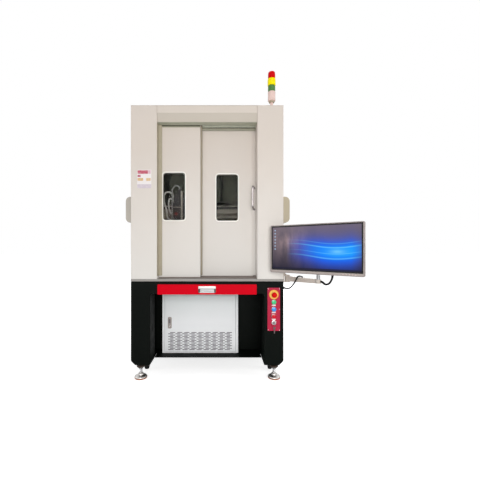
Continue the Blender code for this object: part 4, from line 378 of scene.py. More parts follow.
PAINTS = {  # paint, paint where worn and on edges (partly a painted highlight), roughness, drift, wear and edge highlight, orange peel, gloss, and for some a second colour above a rise, which paints shade
    # cream_enamel turns darker and warmer towards the top: painted shade.
    "cream_enamel": ((223, 219, 214), (240, 236, 228), 0.46, 0.03, 0.6, 0.06, 0.3, (212, 202, 193)),
    # header_enamel is darker below its upper band: painted shade on the lower band, which faces down.
    "header_enamel": ((192, 183, 171), (232, 224, 214), 0.46, 0.03, 0.6, 0.06, 0.3,
                      (212, 202, 192), (1.925, 1.929)),
    "black_enamel": ((6, 11, 8), (52, 50, 42), 0.5, 0.25, 0.25, 0.05, 0.07),
    "bed_enamel": ((157, 153, 149), (226, 224, 218), 0.42, 0.06, 0.5, 0.06, 0.3),
    # beam_enamel carries a dark band along the top of the beam: a painted shadow under the rail.
    "beam_enamel": ((150, 145, 136), (190, 186, 176), 0.45, 0.08, 0.5, 0.06, 0.1,
                    (34, 34, 32), (1.2985, 1.3005)),
    "beige_enamel": ((184, 173, 150), (216, 206, 184), 0.5, 0.07, 0.5, 0.06, 0.3),
    "grey_enamel": ((184, 178, 169), (214, 208, 198), 0.5, 0.07, 0.5, 0.06, 0.3),
    # cooler_enamel turns darker above the rise: painted shade at the top of the cooler.
    "cooler_enamel": ((248, 250, 252), (236, 237, 238), 0.42, 0.02, 0.5, 0.06, 0.3,
                      (222, 228, 228), (0.36, 0.62)),
    "red_enamel": ((216, 0, 28), (236, 60, 80), 0.4, 0.05, 0.4, 0.05, 0.04),
    "crimson_enamel": ((190, 32, 68), (226, 110, 132), 0.42, 0.06, 0.4, 0.05, 0.2),
    "dark_enamel": ((46, 46, 46), (120, 118, 112), 0.42, 0.15, 0.4, 0.05, 0.3),
    "sill_enamel": ((124, 113, 107), (150, 144, 138), 0.45, 0.1, 0.4, 0.05, 0.3),
    "head_enamel": ((74, 73, 76), (150, 150, 152), 0.4, 0.2, 0.4, 0.05, 0.2),
    "rail_enamel": ((214, 208, 200), (232, 230, 226), 0.4, 0.1, 0.4, 0.05, 0.3),
    "arm_enamel": ((203, 193, 184), (232, 226, 218), 0.46, 0.06, 0.5, 0.06, 0.3),
}
for name, look in PAINTS.items():
    sprayed(name, *look)
print("paints", len(PAINTS))

# %% [markdown]
# ## Bare metal, rubber and plastic
# Turned and drawn steel carries fine streaks along the way it was worked, so its noise is squeezed in
# one direction. Chrome is close to a mirror, with faint smears. Rubber is dark and dull with a fine grain.
# Moulded plastic has a soft sheen and hardly any grain.

# %% Bare metal, rubber and plastic


def worked_metal(name, colour, roughness, stretch=(1, 1, 1), streak=0.10, scale=260):
    made = Recipe(name)
    colour = chart(*colour)
    lines = made.noise(scale, 3, 0.6, stretch)
    smear = made.spread(made.noise(22, 4, 0.6), 0.3, 0.75, roughness - 0.05, roughness + streak)
    made.set(Base_Color=made.blend(made.spread(lines, 0.3, 0.7), shade(colour, 0.78), colour),
             Roughness=smear, Metallic=1.0)
    made.bump(lines, 0.12, 0.0003, made.softened(0.0008))


def moulded(name, colour, roughness, grain=0.05, drift=0.06, coat=0.0, gloss=0.3):
    made = Recipe(name)
    colour = chart(*colour)
    tone = made.spread(made.noise(30, 4, 0.6), 0.3, 0.7)
    sheen = made.spread(made.noise(60, 3), 0.3, 0.7, roughness - 0.05, roughness + 0.06)
    made.set(Base_Color=made.blend(tone, shade(colour, 1 - drift), colour), Roughness=sheen,
             Coat_Weight=coat, Specular_IOR_Level=gloss)
    made.bump(made.noise(900, 2), grain, 0.0003, made.softened(0.0008))


METALS = {  # colour, roughness, stretch of the streaks, uneven gloss, scale
    "satin_steel": ((200, 198, 196), 0.3, (1, 0.2, 1)),
    "chrome_plate": ((232, 232, 234), 0.12, (1, 1, 1), 0.08),
    "pull_steel": ((150, 144, 144), 0.26, (1, 1, 0.1)),
    "key_steel": ((122, 104, 106), 0.3),
    "brushed_steel": ((178, 178, 180), 0.36, (1, 1, 14)),
    "cast_aluminium": ((196, 198, 200), 0.42, (1, 1, 1), 0.12, 90),
    "drawn_aluminium": ((202, 204, 206), 0.34, (0.05, 1, 1), 0.1),
    "satin_nickel": ((212, 209, 206), 0.34, (0.04, 1, 1), 0.08),
}
PLASTICS = {  # colour, roughness, grain, drift, coat, gloss
    "black_rubber": ((26, 25, 25), 0.66, 0.12, 0.25),
    "black_plastic": ((24, 24, 26), 0.42, 0.06, 0.2),
    "white_plastic": ((232, 204, 196), 0.40, 0.03),
    "silver_plastic": ((180, 169, 164), 0.34, 0.03, 0.14),
    "green_lens": ((78, 130, 64), 0.3, 0.02, 0.2, 0.05, 0.2),
    "yellow_lens": ((255, 238, 0), 0.3, 0.02, 0.06, 0.02, 0.1),
    "red_lens": ((216, 0, 6), 0.3, 0.02, 0.12, 0.02, 0.06),
    "blue_plastic": ((34, 92, 190), 0.28, 0.02, 0.15, 0.3),
    "stop_yellow": ((255, 208, 96), 0.4, 0.04, 0.08),
}
for name, look in METALS.items():
    worked_metal(name, *look)
for name, look in PLASTICS.items():
    moulded(name, *look)
print("metals", len(METALS), "plastics", len(PLASTICS))

# %% [markdown]
# ## Tinted window glass
# The two windows are laser-safe glass: dark, slightly green, and glossy. A transmissive shader lets the
# pieces behind show as dim shapes, and the white studio lays a faint reflection over them.

# %% Tinted window glass
window = Recipe("window_glass")
tint = window.blend(window.spread(window.noise(6, 3), 0.3, 0.7), chart(174, 174, 168), chart(183, 182, 177))
window.set(Transmission_Weight=1.0, IOR=1.08, Base_Color=tint,
           Roughness=window.spread(window.noise(24, 5, 0.7), 0.35, 0.75, 0.0, 0.02))
print("window glass ready")

# %% [markdown]
# ## Directions on the screen
# The monitor shows a desktop. It is painted by place on the screen, measured along it and up it, so two
# dot products give its directions, each from 0 at one edge to 1 at the other. Two helpers make soft spots
# and soft bands of light from them.

# %% Directions on the screen
SCREEN_YAW = math.radians(-37.3)
SCREEN_WIDTH = 0.577

screen_low, screen_high = (Vector(corner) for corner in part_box("monitor_screen"))
picture = Recipe("screen_picture")
moved = picture.add("VectorMath", operation="SUBTRACT")
picture.join(picture.place, moved.inputs[0])
moved.inputs[1].default_value = (screen_low + screen_high) / 2


def share_along(direction, length):
    made = picture.add("VectorMath", operation="DOT_PRODUCT")
    picture.join(moved.outputs[0], made.inputs[0])
    made.inputs[1].default_value = direction
    return picture.math("ADD", picture.math("DIVIDE", made.outputs["Value"], length), 0.5)


across = share_along((math.cos(SCREEN_YAW), math.sin(SCREEN_YAW), 0), SCREEN_WIDTH)
upward = share_along((0, 0, 1), screen_high.z - screen_low.z)


def glow_at(x, y, wide, tall):
    """A soft spot of light."""
    dx = picture.math("DIVIDE", picture.math("SUBTRACT", across, x), wide)
    dy = picture.math("DIVIDE", picture.math("SUBTRACT", upward, y), tall)
    square = picture.math("ADD", picture.product(dx, dx), picture.product(dy, dy))
    return picture.math("DIVIDE", 1, picture.math("ADD", 1, picture.product(square, 3)))


drift = picture.product(picture.math("SINE", picture.product(across, 6.4)), 0.05)
above = picture.math("SUBTRACT", picture.math("SUBTRACT", upward, 0.44), drift)


def ribbon(offset, width):
    """A soft band of light that follows the drift, brightest on its own line."""
    away = picture.math("DIVIDE", picture.math("SUBTRACT", above, offset), width)
    fourth = picture.math("POWER", picture.math("ABSOLUTE", away), 4)
    return picture.math("DIVIDE", 1, picture.math("ADD", 1, fourth))


print("screen", round(SCREEN_WIDTH, 3), "by", round(screen_high.z - screen_low.z, 3), "m")

# %% [markdown]
# ## Screen picture
# The picture is a plain one of its own: a soft ribbon of blue light that drifts over a dusky violet, a
# pale mist, a dark strip along the bottom and a few blank squares. Each is one layer, a share of a colour
# laid over what is there.

# %% Screen picture
ICON_ROWS, ICON_FOOT, ICON_STEP, ICON_HEIGHT = 7, 0.905, 0.074, 0.030

swell = picture.spread(across, 0.18, 0.60)
fade = picture.spread(across, 1.04, 0.90)
mist = picture.spread(picture.noise(14, 4, 0.6, (1, 1, 0.35)), 0.35, 0.62)
layers = [
    (picture.product(glow_at(0.17, 0.68, 0.19, 0.26), mist, 0.9), (176, 150, 152)),
    (picture.product(ribbon(0, 0.26), swell, fade), (0, 84, 236)),
    (picture.product(ribbon(0.02, 0.13), picture.spread(across, 0.34, 0.74), fade, 0.85), (0, 158, 255)),
]
for offset, width, share in ((0.115, 0.010, 0.55), (-0.020, 0.006, 0.40), (-0.125, 0.012, 0.45),
                             (0.200, 0.008, 0.25)):
    layers.append((picture.product(ribbon(offset, width), swell, fade, share), (110, 214, 255)))
core = picture.math("POWER", glow_at(0.76, 0.42, 0.16, 0.10), 2)
layers.append((picture.product(core, 0.5), (140, 224, 255)))
layers.append((picture.product(picture.within(upward, 0, 0.045), 0.85), (30, 28, 48)))
for row in range(ICON_ROWS):
    foot = ICON_FOOT - ICON_STEP * row
    square = picture.product(picture.within(across, 0.026, 0.043),
                             picture.within(upward, foot, foot + ICON_HEIGHT))
    layers.append((picture.product(square, 0.75), (170, 196, 224)))
desk = picture.blend(picture.spread(upward, 0, 1), chart(26, 24, 44), chart(106, 96, 107))
for share, colour in layers:
    desk = picture.blend(share, desk, chart(*colour))
picture.set(Base_Color=picture.blend(0.85, desk, (0.01, 0.01, 0.012, 1)), Emission_Color=desk,
            Emission_Strength=0.9, Roughness=0.2, Specular_IOR_Level=0.06)
print("picture layers", len(layers))

# %% [markdown]
# ## Dress the solids
# Each solid takes the finish of the real piece it stands for. Assigning to the material slot leaves the
# shape alone.

# %% Dress the solids
CORNERS = ["front_left", "front_right", "rear_left", "rear_right"]
DRESSES = {
    "black_enamel": ["base_frame", "recess_liner"],
    "bed_enamel": ["bed_plate"],
    "beam_enamel": ["gantry_beam"],
    "header_enamel": ["header_cover"],
    "cream_enamel": ["cabinet_wall_left", "cabinet_wall_right", "roof_panel", "cabinet_rear_panel",
                     "fixed_leaf", "sliding_door"],
    "grey_enamel": ["side_cover_left"],
    "beige_enamel": ["side_cover_right"],
    "cooler_enamel": ["cooler_housing", "cooler_door"],
    "red_enamel": ["drawer_front"],
    "crimson_enamel": ["control_plate"],
    "sill_enamel": ["door_bottom_track"],
    "dark_enamel": ["drawer_tray", "x_carriage"],
    "head_enamel": ["laser_head"],
    "arm_enamel": ["arm_bracket", "monitor_arm"],
    "drawn_aluminium": ["door_head_track"],
    "cast_aluminium": ["machine_bed", "head_hose"],
    "brushed_steel": ["work_table", "monitor_post", "drawer_pull"],
    "pull_steel": ["door_pull"],
    "key_steel": ["switch_key", "spare_key"],
    "chrome_plate": [part + corner for part in ("levelling_foot_", "caster_fork_") for corner in CORNERS],
    "silver_plastic": ["monitor_housing", "cooler_lock_lever"],
    "white_plastic": ["signal_tower_body"],
    "green_lens": ["tower_lens_green", "button_green"],
    "yellow_lens": ["tower_lens_yellow"],
    "red_lens": ["tower_lens_red", "button_red", "estop_head"],
    "blue_plastic": ["button_blue"],
    "stop_yellow": ["estop_collar"],
    "black_rubber": ["arm_cable", "monitor_cable"] + ["caster_wheel_" + corner for corner in CORNERS],
    "window_glass": ["fixed_leaf_window", "sliding_door_window"],
    "screen_picture": ["monitor_screen"],
}
dressed = 0
for finish, names in DRESSES.items():
    for name in names:
        for slot in nodes[name].material_slots:
            slot.material = finishes[finish]
        dressed += 1
print("dressed", dressed, "of", len(nodes), "solids")

# %% [markdown]
# ## Modelling helpers
# Every small piece below starts as a primitive at its place and is shaped in edit mode. Two helpers add
# the primitive, one selects faces or edges by where they are, and the rest are the moves a modeller
# repeats: round some edges, cut a window through a slab, turn a profile step by step. Places are cabinet
# places, and a test says which edges or faces a move is for.

# %% Modelling helpers
FRAME_SEGMENTS = 7  # steps round the corner of a frame


def start(name, kind, **options):
    """A primitive at its size and place, with its own object at the origin."""
    bpy.ops.object.select_all(action="DESELECT")
    scale = options.pop("scale", (1, 1, 1))
    getattr(bpy.ops.mesh, "primitive_" + kind + "_add")(**options)
    piece = bpy.context.object
    piece.name = piece.data.name = name
    piece.scale = scale
    bpy.ops.object.transform_apply(location=True, rotation=True, scale=True)
    return piece


def slab(name, low, high):
    low, high = Vector(low), Vector(high)
    return start(name, "cube", size=1, location=ZERO + (low + high) / 2, scale=high - low)


def runs(axis, test=lambda place: True):
    """A test for edges that run along an axis, or faces that look along it, at places that pass a test."""
    number = "xyz".index(axis)
    return lambda place, way: abs(way[number]) > 0.9 and test(place)


def rim(depth):
    """A test for the edges round a front face that reaches further out than a depth."""
    return lambda place, way: place.y < depth and abs(way.y) < 0.1


def pick(piece, kind, test):
    """Selects the faces or edges whose middle and normal (for an edge, its direction) pass a test."""
    if piece.mode != "EDIT":
        bpy.ops.object.mode_set(mode="EDIT")
    bpy.ops.mesh.select_mode(type=kind)
    bpy.ops.mesh.select_all(action="DESELECT")
    shape = bmesh.from_edit_mesh(piece.data)
    for part in shape.faces if kind == "FACE" else shape.edges:
        if kind == "FACE":
            middle, way = part.calc_center_median(), part.normal
        else:
            first, last = (v.co for v in part.verts)
            middle, way = (first + last) / 2, (last - first).normalized()
        if test(middle - ZERO, way):
            part.select_set(True)
    bmesh.update_edit_mesh(piece.data)


def rounded(piece, width, test, segments=3):
    pick(piece, "EDGE", test)
    bpy.ops.mesh.bevel(offset=width, segments=segments, affect="EDGES")
    return piece


def framed(name, low, high, border, radius):
    """A flat ring: a slab with round corners, its front and back inset and bridged into a window."""
    piece = rounded(slab(name, low, high), radius, runs("y"), FRAME_SEGMENTS)
    pick(piece, "FACE", runs("y"))
    bpy.ops.mesh.inset(thickness=border)
    bpy.ops.mesh.bridge_edge_loops()
    return piece


print("shaping helpers ready")

# %% [markdown]
# ## Turned and settled pieces
# A turned piece is a disc that is pulled along its axis and resized, step by step. When a piece is
# finished it is shaded, gets its finish and is settled on a body of the machine, so that it moves when
# that body does. What repeats is copied, each copy with its own mesh.

# %% Turned and settled pieces
OUT = (0, -1, 0)  # towards the operator


def turned(name, centre, steps, way=(0, 0, 1), sides=40, bored=False):
    """Each step is a radius and a height. A bored piece ends at the radius it began with, and its two
    end discs are bridged into a hole."""
    way, centre = Vector(way), at(*centre)
    radius, height = steps[0]
    piece = start(name, "circle", vertices=sides, radius=radius, fill_type="NGON",
                  location=centre + way * height,
                  rotation=Vector((0, 0, 1)).rotation_difference(way).to_euler())
    bpy.ops.object.mode_set(mode="EDIT")
    bpy.ops.mesh.select_mode(type="FACE")
    bpy.ops.mesh.select_all(action="SELECT")
    for next_radius, next_height in steps[1:]:
        step = way * (next_height - height)
        bpy.ops.mesh.extrude_region_move(TRANSFORM_OT_translate={"value": step})
        if next_radius != radius:
            share = next_radius / radius
            bpy.ops.transform.resize(value=(share, share, share),
                                     center_override=centre + way * next_height)
        radius, height = next_radius, next_height
    if bored:
        shape = bmesh.from_edit_mesh(piece.data)
        for face in shape.faces:
            face.select_set(len(face.verts) == sides)
        bmesh.update_edit_mesh(piece.data)
        bpy.ops.mesh.bridge_edge_loops()
    bpy.ops.mesh.select_all(action="SELECT")
    bpy.ops.mesh.normals_make_consistent(inside=False)
    bpy.ops.object.mode_set(mode="OBJECT")
    return piece


def settle(piece, body, finish, slot, angle=35):
    """Shades a piece, gives it its finish and lets it ride on a body."""
    if piece.mode == "EDIT":
        bpy.ops.object.mode_set(mode="OBJECT")
    bpy.ops.object.select_all(action="DESELECT")
    piece.select_set(True)
    bpy.context.view_layer.objects.active = piece
    piece.data.materials.clear()
    piece.data.materials.append(finishes[finish])
    bpy.ops.object.shade_smooth_by_angle(angle=math.radians(angle))
    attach(piece, body)
    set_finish(piece, slot)
    return piece


def bar(name, low, high, width, test, segments, finish, slot, body="machine_frame"):
    """A slab with some of its edges rounded, settled on a body."""
    return settle(rounded(slab(name, low, high), width, test, segments), body, finish, slot)


def repeat(piece, moves, bodies=None, looks=None):
    """Copies of a settled piece, moved by the given steps. Looks give each copy a finish and a slot."""
    for number, move in enumerate(moves):
        copy = bpy.data.objects.new(f"{piece.name}_{number + 2}", piece.data.copy())
        copy.data.transform(Matrix.Translation(move))
        scene.collection.objects.link(copy)
        slot = piece["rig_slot"]
        if looks:
            finish, slot = looks[number]
            copy.data.materials[0] = finishes[finish]
        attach(copy, bodies[number] if bodies else piece["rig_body"])
        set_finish(copy, slot)


def tube(name, points, radius, sizes=None, sides=4, smooth=6):
    """A round tube along a soft curve through points, turned into a mesh."""
    curve = bpy.data.curves.new(name, "CURVE")
    curve.dimensions = "3D"
    curve.bevel_depth = radius
    curve.bevel_resolution = sides
    curve.resolution_u = smooth
    curve.use_fill_caps = True
    spline = curve.splines.new("NURBS")
    spline.points.add(len(points) - 1)
    for number, point in enumerate(points):
        spline.points[number].co = (*at(*point), 1)
        spline.points[number].radius = sizes[number] if sizes else 1
    spline.order_u = 3
    spline.use_endpoint_u = True
    line = bpy.data.objects.new(name, curve)
    scene.collection.objects.link(line)
    bpy.ops.object.select_all(action="DESELECT")
    line.select_set(True)
    bpy.context.view_layer.objects.active = line
    bpy.ops.object.convert(target="MESH")
    return bpy.context.object


print("turning and settling helpers ready")

# %% [markdown]
# ## Door surround and its painted shade
# Round the two door leaves there are thin strips whose colour paints the shade of the door recess: a jamb
# strip and lining beside the fixed leaf, a strip where the leaves meet, a strip under the header and a
# hanging strip over the sliding door. Each is a long slab with one edge rounded, in an olive tone of
# painted shade that stays darker than paint. Over both leaves a dark lip paints the shadow line along the
# top of the sheet, with a line of painted shade under it.

# %% Door surround
DOOR_FOOT, DOOR_HEAD = 0.7520, 1.8600

# Tones of painted shade for the strips round the doors.
RECESS_SHADES = {"olive_felt": (176, 167, 147), "brush_felt": (158, 149, 131), "shade_felt": (184, 186, 168),
         "curtain_felt": (236, 240, 220), "strip_felt": (162, 160, 143)}
for name, colour in RECESS_SHADES.items():
    moulded(name, colour, 0.85, 0.3, 0.10)
# A dark tone that paints the shadow line over each leaf.
moulded("lip_shade", (82, 80, 66), 0.7, 0.1, 0.1, 0.0, 0.1)

# Each strip below is a sheet set where the door recess lies in shade, and its colour paints that shade.
bar("jamb_shade_strip", (-0.3609, 0.0440, DOOR_FOOT), (-0.3350, 0.0557, DOOR_HEAD), 0.007,
    runs("z", lambda place: place.y < 0.05 and place.x > -0.34), 4, "olive_felt", "beige_paint")
bar("jamb_shade_lining", (-0.3609, 0.0020, DOOR_FOOT), (-0.3601, 0.0440, DOOR_HEAD), 0.0003,
    runs("z"), 1, "olive_felt", "beige_paint")
bar("meeting_shade_strip", (-0.0528, 0.0800, DOOR_FOOT), (-0.0405, 0.1012, 1.8800), 0.004,
    runs("z", lambda place: place.x > -0.045), 3, "brush_felt", "beige_paint")
bar("header_shade_strip", (-0.3600, 0.0030, DOOR_HEAD), (0.3600, 0.0565, 1.8609), 0.0003,
    runs("x"), 1, "shade_felt", "beige_paint")
bar("head_shade_curtain", (-0.0500, 0.0940, 1.8560), (0.3600, 0.0980, 1.9266), 0.0014,
    runs("x", lambda place: place.z < 1.86), 3, "curtain_felt", "beige_paint")
bar("curtain_shade_lip", (-0.0500, 0.0925, 1.8534), (0.3600, 0.0992, DOOR_HEAD), 0.0012,
    runs("x", lambda place: place.y < 0.093), 2, "lip_shade", "black_rubber")
bar("curtain_shade_strip", (-0.0500, 0.0948, 1.8370), (0.3600, 0.0978, 1.8545), 0.0012,
    runs("x", lambda place: place.z < 1.84), 3, "strip_felt", "beige_paint")
bar("leaf_shade_lip", (-0.3350, 0.0556, 1.8532), (-0.0540, 0.0581, 1.8601), 0.0008,
    runs("x", lambda place: place.y < 0.056), 2, "lip_shade", "black_rubber")
bar("leaf_shade_strip", (-0.3350, 0.0568, 1.8452), (-0.0540, 0.0581, 1.8540), 0.0005,
    runs("x", lambda place: place.y < 0.057), 2, "strip_felt", "beige_paint")
print("door surround from", DOOR_FOOT, "to", DOOR_HEAD)

# %% [markdown]
# ## Window seals
# Each window sits behind a narrow pale seal that laps over the edge of the sheet. It is a slab with round
# corners whose front and back are inset and bridged, and a fine bevel rounds its lip.

# %% Window seals
GLASS_DEPTH = 0.0170  # from the raised edge of a window back to its glass
SEAL_HALF_WIDTH, SEAL_BORDER, SEAL_RADIUS = 0.0902, 0.0084, 0.028
SEAL_FOOT, SEAL_TOP = 1.1518, 1.5182

moulded("pale_seal", (250, 247, 240), 0.5, 0.05, 0.03)
for name, window_node, x, body in (("window_seal_left", "fixed_leaf_window", -0.2477, "machine_frame"),
                                   ("window_seal_right", "sliding_door_window", 0.1458, "door")):
    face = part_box(window_node)[0][1] - CABINET_FRONT - GLASS_DEPTH
    ring = framed(name, (x - SEAL_HALF_WIDTH, face - 0.0016, SEAL_FOOT),
                  (x + SEAL_HALF_WIDTH, face + 0.0003, SEAL_TOP), SEAL_BORDER, SEAL_RADIUS)
    settle(rounded(ring, 0.0006, rim(face - 0.0015), 2), body, "pale_seal", "white_plastic")
    print(name, "on a face at", round(face, 4))

# %% [markdown]
# ## Hoses behind the windows
# Through the tinted glass one sees bright and black hoses in front of a dark lining. A hose is a round
# tube along one soft curve, and it rides with the beam or with the carriage, so it keeps clear of the
# head when that travels.

# %% Hoses behind the windows
BEAM_HOSE_DEPTH, LOW_HOSE_DEPTH = 0.560, 0.538

moulded("silver_hose", (244, 244, 242), 0.3, 0.1, 0.06, 0.2)
moulded("black_hose", (13, 14, 12), 0.6, 0.1, 0.2, 0.0, 0.03)
arch = [(0.102, 1.320), (0.102, 1.420), (0.102, 1.560), (0.098, 1.640), (0.040, 1.700), (-0.120, 1.710),
        (-0.290, 1.690), (-0.372, 1.620), (-0.386, 1.480), (-0.386, 1.320)]
low_run = [(-0.250, 1.320), (-0.250, 1.352), (-0.200, 1.362), (0.000, 1.362), (0.130, 1.360),
           (0.166, 1.352), (0.172, 1.320)]
HOSES = {  # points, radius, body, finish, slot
    "feed_hose_outer": (
        [(-0.310, 0.466, 1.380), (-0.330, 0.455, 1.440), (-0.385, 0.448, 1.445), (-0.404, 0.444, 1.395),
         (-0.392, 0.440, 1.330), (-0.370, 0.440, 1.280), (-0.372, 0.440, 1.225), (-0.352, 0.446, 1.200),
         (-0.332, 0.455, 1.204), (-0.322, 0.466, 1.225)], 0.0068, "carriage", "silver_hose", "aluminium"),
    "feed_hose_inner": (
        [(-0.316, 0.468, 1.365), (-0.340, 0.452, 1.392), (-0.357, 0.440, 1.372), (-0.356, 0.434, 1.320),
         (-0.346, 0.434, 1.262), (-0.322, 0.452, 1.240)], 0.0062, "carriage", "silver_hose", "aluminium"),
    "beam_hose_arch": (
        [(x, BEAM_HOSE_DEPTH, z) for x, z in arch], 0.0130, "gantry", "black_hose", "black_rubber"),
    "beam_hose_low": (
        [(x, LOW_HOSE_DEPTH, z) for x, z in low_run], 0.0130, "gantry", "black_hose", "black_rubber"),
}
for name, (points, radius, body, finish, slot) in HOSES.items():
    settle(tube(name, points, radius, sides=3, smooth=14), body, finish, slot, 60)
print("hoses", len(HOSES))

# %% [markdown]
# ## Beam rail and cutting head
# A ground rail lies on the beam: a bar whose front and back are inset and pushed in. On the head there
# are a linear guide, a band and a socket for the gas.

# %% Beam rail and cutting head
rail = slab("beam_rail", (-0.4150, 0.5030, 1.3226), (0.4150, 0.5250, 1.3300))
rounded(rail, 0.0015, runs("x", lambda place: place.z > 1.329), 2)
pick(rail, "FACE", runs("y"))
bpy.ops.mesh.inset(thickness=0.0018)
bpy.ops.mesh.extrude_region_shrink_fatten(TRANSFORM_OT_shrink_fatten={"value": -0.002})
settle(rail, "gantry", "rail_enamel", "white_paint")
bar("head_guide", (-0.2440, 0.3862, 1.0100), (-0.2300, 0.3898, 1.4400), 0.0012,
    runs("z", lambda place: place.y < 0.387), 2, "rail_enamel", "white_paint", "head")
bar("head_band", (-0.3040, 0.3868, 1.2980), (-0.2445, 0.3898, 1.3050), 0.0010,
    runs("x", lambda place: place.y < 0.388), 2, "rail_enamel", "white_paint", "head")
moulded("socket_red", (150, 24, 30), 0.4, 0.05, 0.1)
socket = turned("head_socket", (-0.2840, 0.3898, 1.2450),
                [(0.0130, 0), (0.0130, 0.0060), (0.0118, 0.0075), (0.0080, 0.0075), (0.0072, 0.0050)],
                OUT, 28)
settle(socket, "head", "socket_red", "red_lens")
print("rail faces", len(rail.data.polygons))

# %% [markdown]
# ## Work light and lining
# A bar lamp under the roof lights the inside, so its diffuser gives off light itself. The back of the
# chamber is lined with a dark grey foam, against which the hoses show.

# %% Work light and lining
WORK_LIGHT_STRENGTH = 200

lit = Recipe("lit_diffuser")
cloudy = lit.spread(lit.noise(40, 3), 0.3, 0.7)
lit.set(Base_Color=lit.blend(cloudy, chart(236, 240, 244), chart(248, 250, 252)),
        Emission_Color=chart(240, 246, 255), Emission_Strength=WORK_LIGHT_STRENGTH, Roughness=0.5)
bar("work_light", (-0.3000, 0.1700, 1.9640), (0.3000, 0.1900, 1.9780), 0.0040,
    runs("x", lambda place: place.z < 1.97), 4, "lit_diffuser", "white_plastic")
moulded("grey_lining", (83, 86, 76), 0.95, 0.9, 0.2, 0.0, 0.05)
bar("rear_lining", (-0.5420, 1.1360, 1.0000), (0.5420, 1.1468, 1.9500), 0.0040,
    rim(1.137), 3, "grey_lining", "black_rubber")
print("work light strength", WORK_LIGHT_STRENGTH)

# %% [markdown]
# ## Cooler filter
# Behind the grille hangs a pleated filter in a dark frame: a plane cut into narrow columns, every second
# column edge pushed back, then given the thickness of the fabric.

# %% Cooler filter
PLEATS = 118
PLEAT_DEPTH = 0.004
FILTER_LEFT, FILTER_RIGHT = -0.333, 0.197

moulded("filter_fabric", (128, 118, 132), 0.9, 0.6, 0.10)
pitch = (FILTER_RIGHT - FILTER_LEFT) / PLEATS
pleated = start("cooler_filter", "grid", x_subdivisions=PLEATS, y_subdivisions=1, size=1,
                location=at((FILTER_LEFT + FILTER_RIGHT) / 2, 0.2320, 0.2135),
                rotation=(math.radians(90), 0, 0), scale=(FILTER_RIGHT - FILTER_LEFT, 0.158, 1))
pick(pleated, "EDGE", runs("z", lambda place: round((place.x - FILTER_LEFT) / pitch) % 2))
bpy.ops.transform.translate(value=(0, PLEAT_DEPTH, 0))
bpy.ops.object.mode_set(mode="OBJECT")
cloth = pleated.modifiers.new("fabric", "SOLIDIFY")
cloth.thickness = 0.0006
bpy.ops.object.modifier_apply(modifier="fabric")
settle(pleated, "cooler_cover", "filter_fabric", "white_plastic", 10)
holder = framed("filter_frame", (-0.3395, 0.2306, 0.1325), (0.2035, 0.2372, 0.2945), 0.0062, 0.003)
settle(holder, "cooler_cover", "dark_enamel", "dark_metal")
print("pleats", PLEATS)

# %% [markdown]
# ## Cooler lock
# The lock is a rounded plate round the lever, with a grip and a small key disc on the lever. The corners
# are rounded first, and then the front edge that runs round them.

# %% Cooler lock
moulded("grey_plastic", (122, 120, 122), 0.4, 0.05, 0.1)
plate = slab("lock_plate", (-0.3235, 0.2222, 0.3135), (-0.2935, 0.2239, 0.4045))
rounded(plate, 0.0090, runs("y"), 6)
settle(rounded(plate, 0.0007, rim(0.2224), 2), "cooler_cover", "silver_plastic", "silver_plastic")
grip = slab("lock_grip", (-0.3145, 0.2160, 0.3560), (-0.3025, 0.2178, 0.3890))
rounded(grip, 0.0030, runs("y"), 4)
settle(rounded(grip, 0.0006, rim(0.2162), 2), "cooler_lock", "grey_plastic", "dark_metal")
disc = turned("lock_key_disc", (-0.3085, 0.2177, 0.3360),
              [(0.0050, 0), (0.0050, 0.0009), (0.0044, 0.0015), (0.0022, 0.0015), (0.0018, 0.0008)],
              OUT, 28)
settle(disc, "cooler_lock", "chrome_plate", "chrome")
print("lock faces", len(plate.data.polygons) + len(grip.data.polygons))

# %% [markdown]
# ## Screws
# One screw serves the whole machine: a low domed head with a socket. The head is turned, and the socket
# is its middle, stepped in and pushed down.

# %% Screws
PLATE_FACE = -0.0033


def screw(name, place, way, finish, slot, radius=0.0036):
    head = turned(name, place, [(radius, -0.0004), (radius, 0.0006), (radius * 0.86, 0.0016),
                                (radius * 0.5, 0.0020), (radius * 0.45, 0.0011)], way, 18)
    return settle(head, "machine_frame", finish, slot)


first = screw("plate_screw", (0.4395, PLATE_FACE, 0.3655), OUT, "chrome_plate", "chrome", 0.0028)
moves = [(0.0790, 0, 0), (0, 0, 0.2970), (0.0790, 0, 0.2970), (0.0790, 0, 0.1485)]
repeat(first, moves)
print("control plate screws", 1 + len(moves))

# %% [markdown]
# ## Push buttons
# A push button on such a panel has a polished ring, a domed lens that stands proud of it, and a name tag
# under it. The ring is turned and bored, the lens is a turned cap wide enough to hide the shaft, and its
# underside stays clear of the ring when pressed. The tags are plain.

# %% Push buttons
BUTTON_X, BUTTON_TOP_Z, BUTTON_STEP = 0.479, 0.566, 0.051

for name, colour in (("lens_green", (70, 205, 134)), ("lens_blue", (52, 150, 236))):
    moulded(name, colour, 0.18, 0.02, 0.12, 0.5)
moulded("lens_red", (216, 10, 34), 0.18, 0.02, 0.12, 0.3, 0.2)
moulded("tag_plastic", (250, 232, 232), 0.40, 0.03)
down = [(0, 0, -BUTTON_STEP), (0, 0, -2 * BUTTON_STEP)]

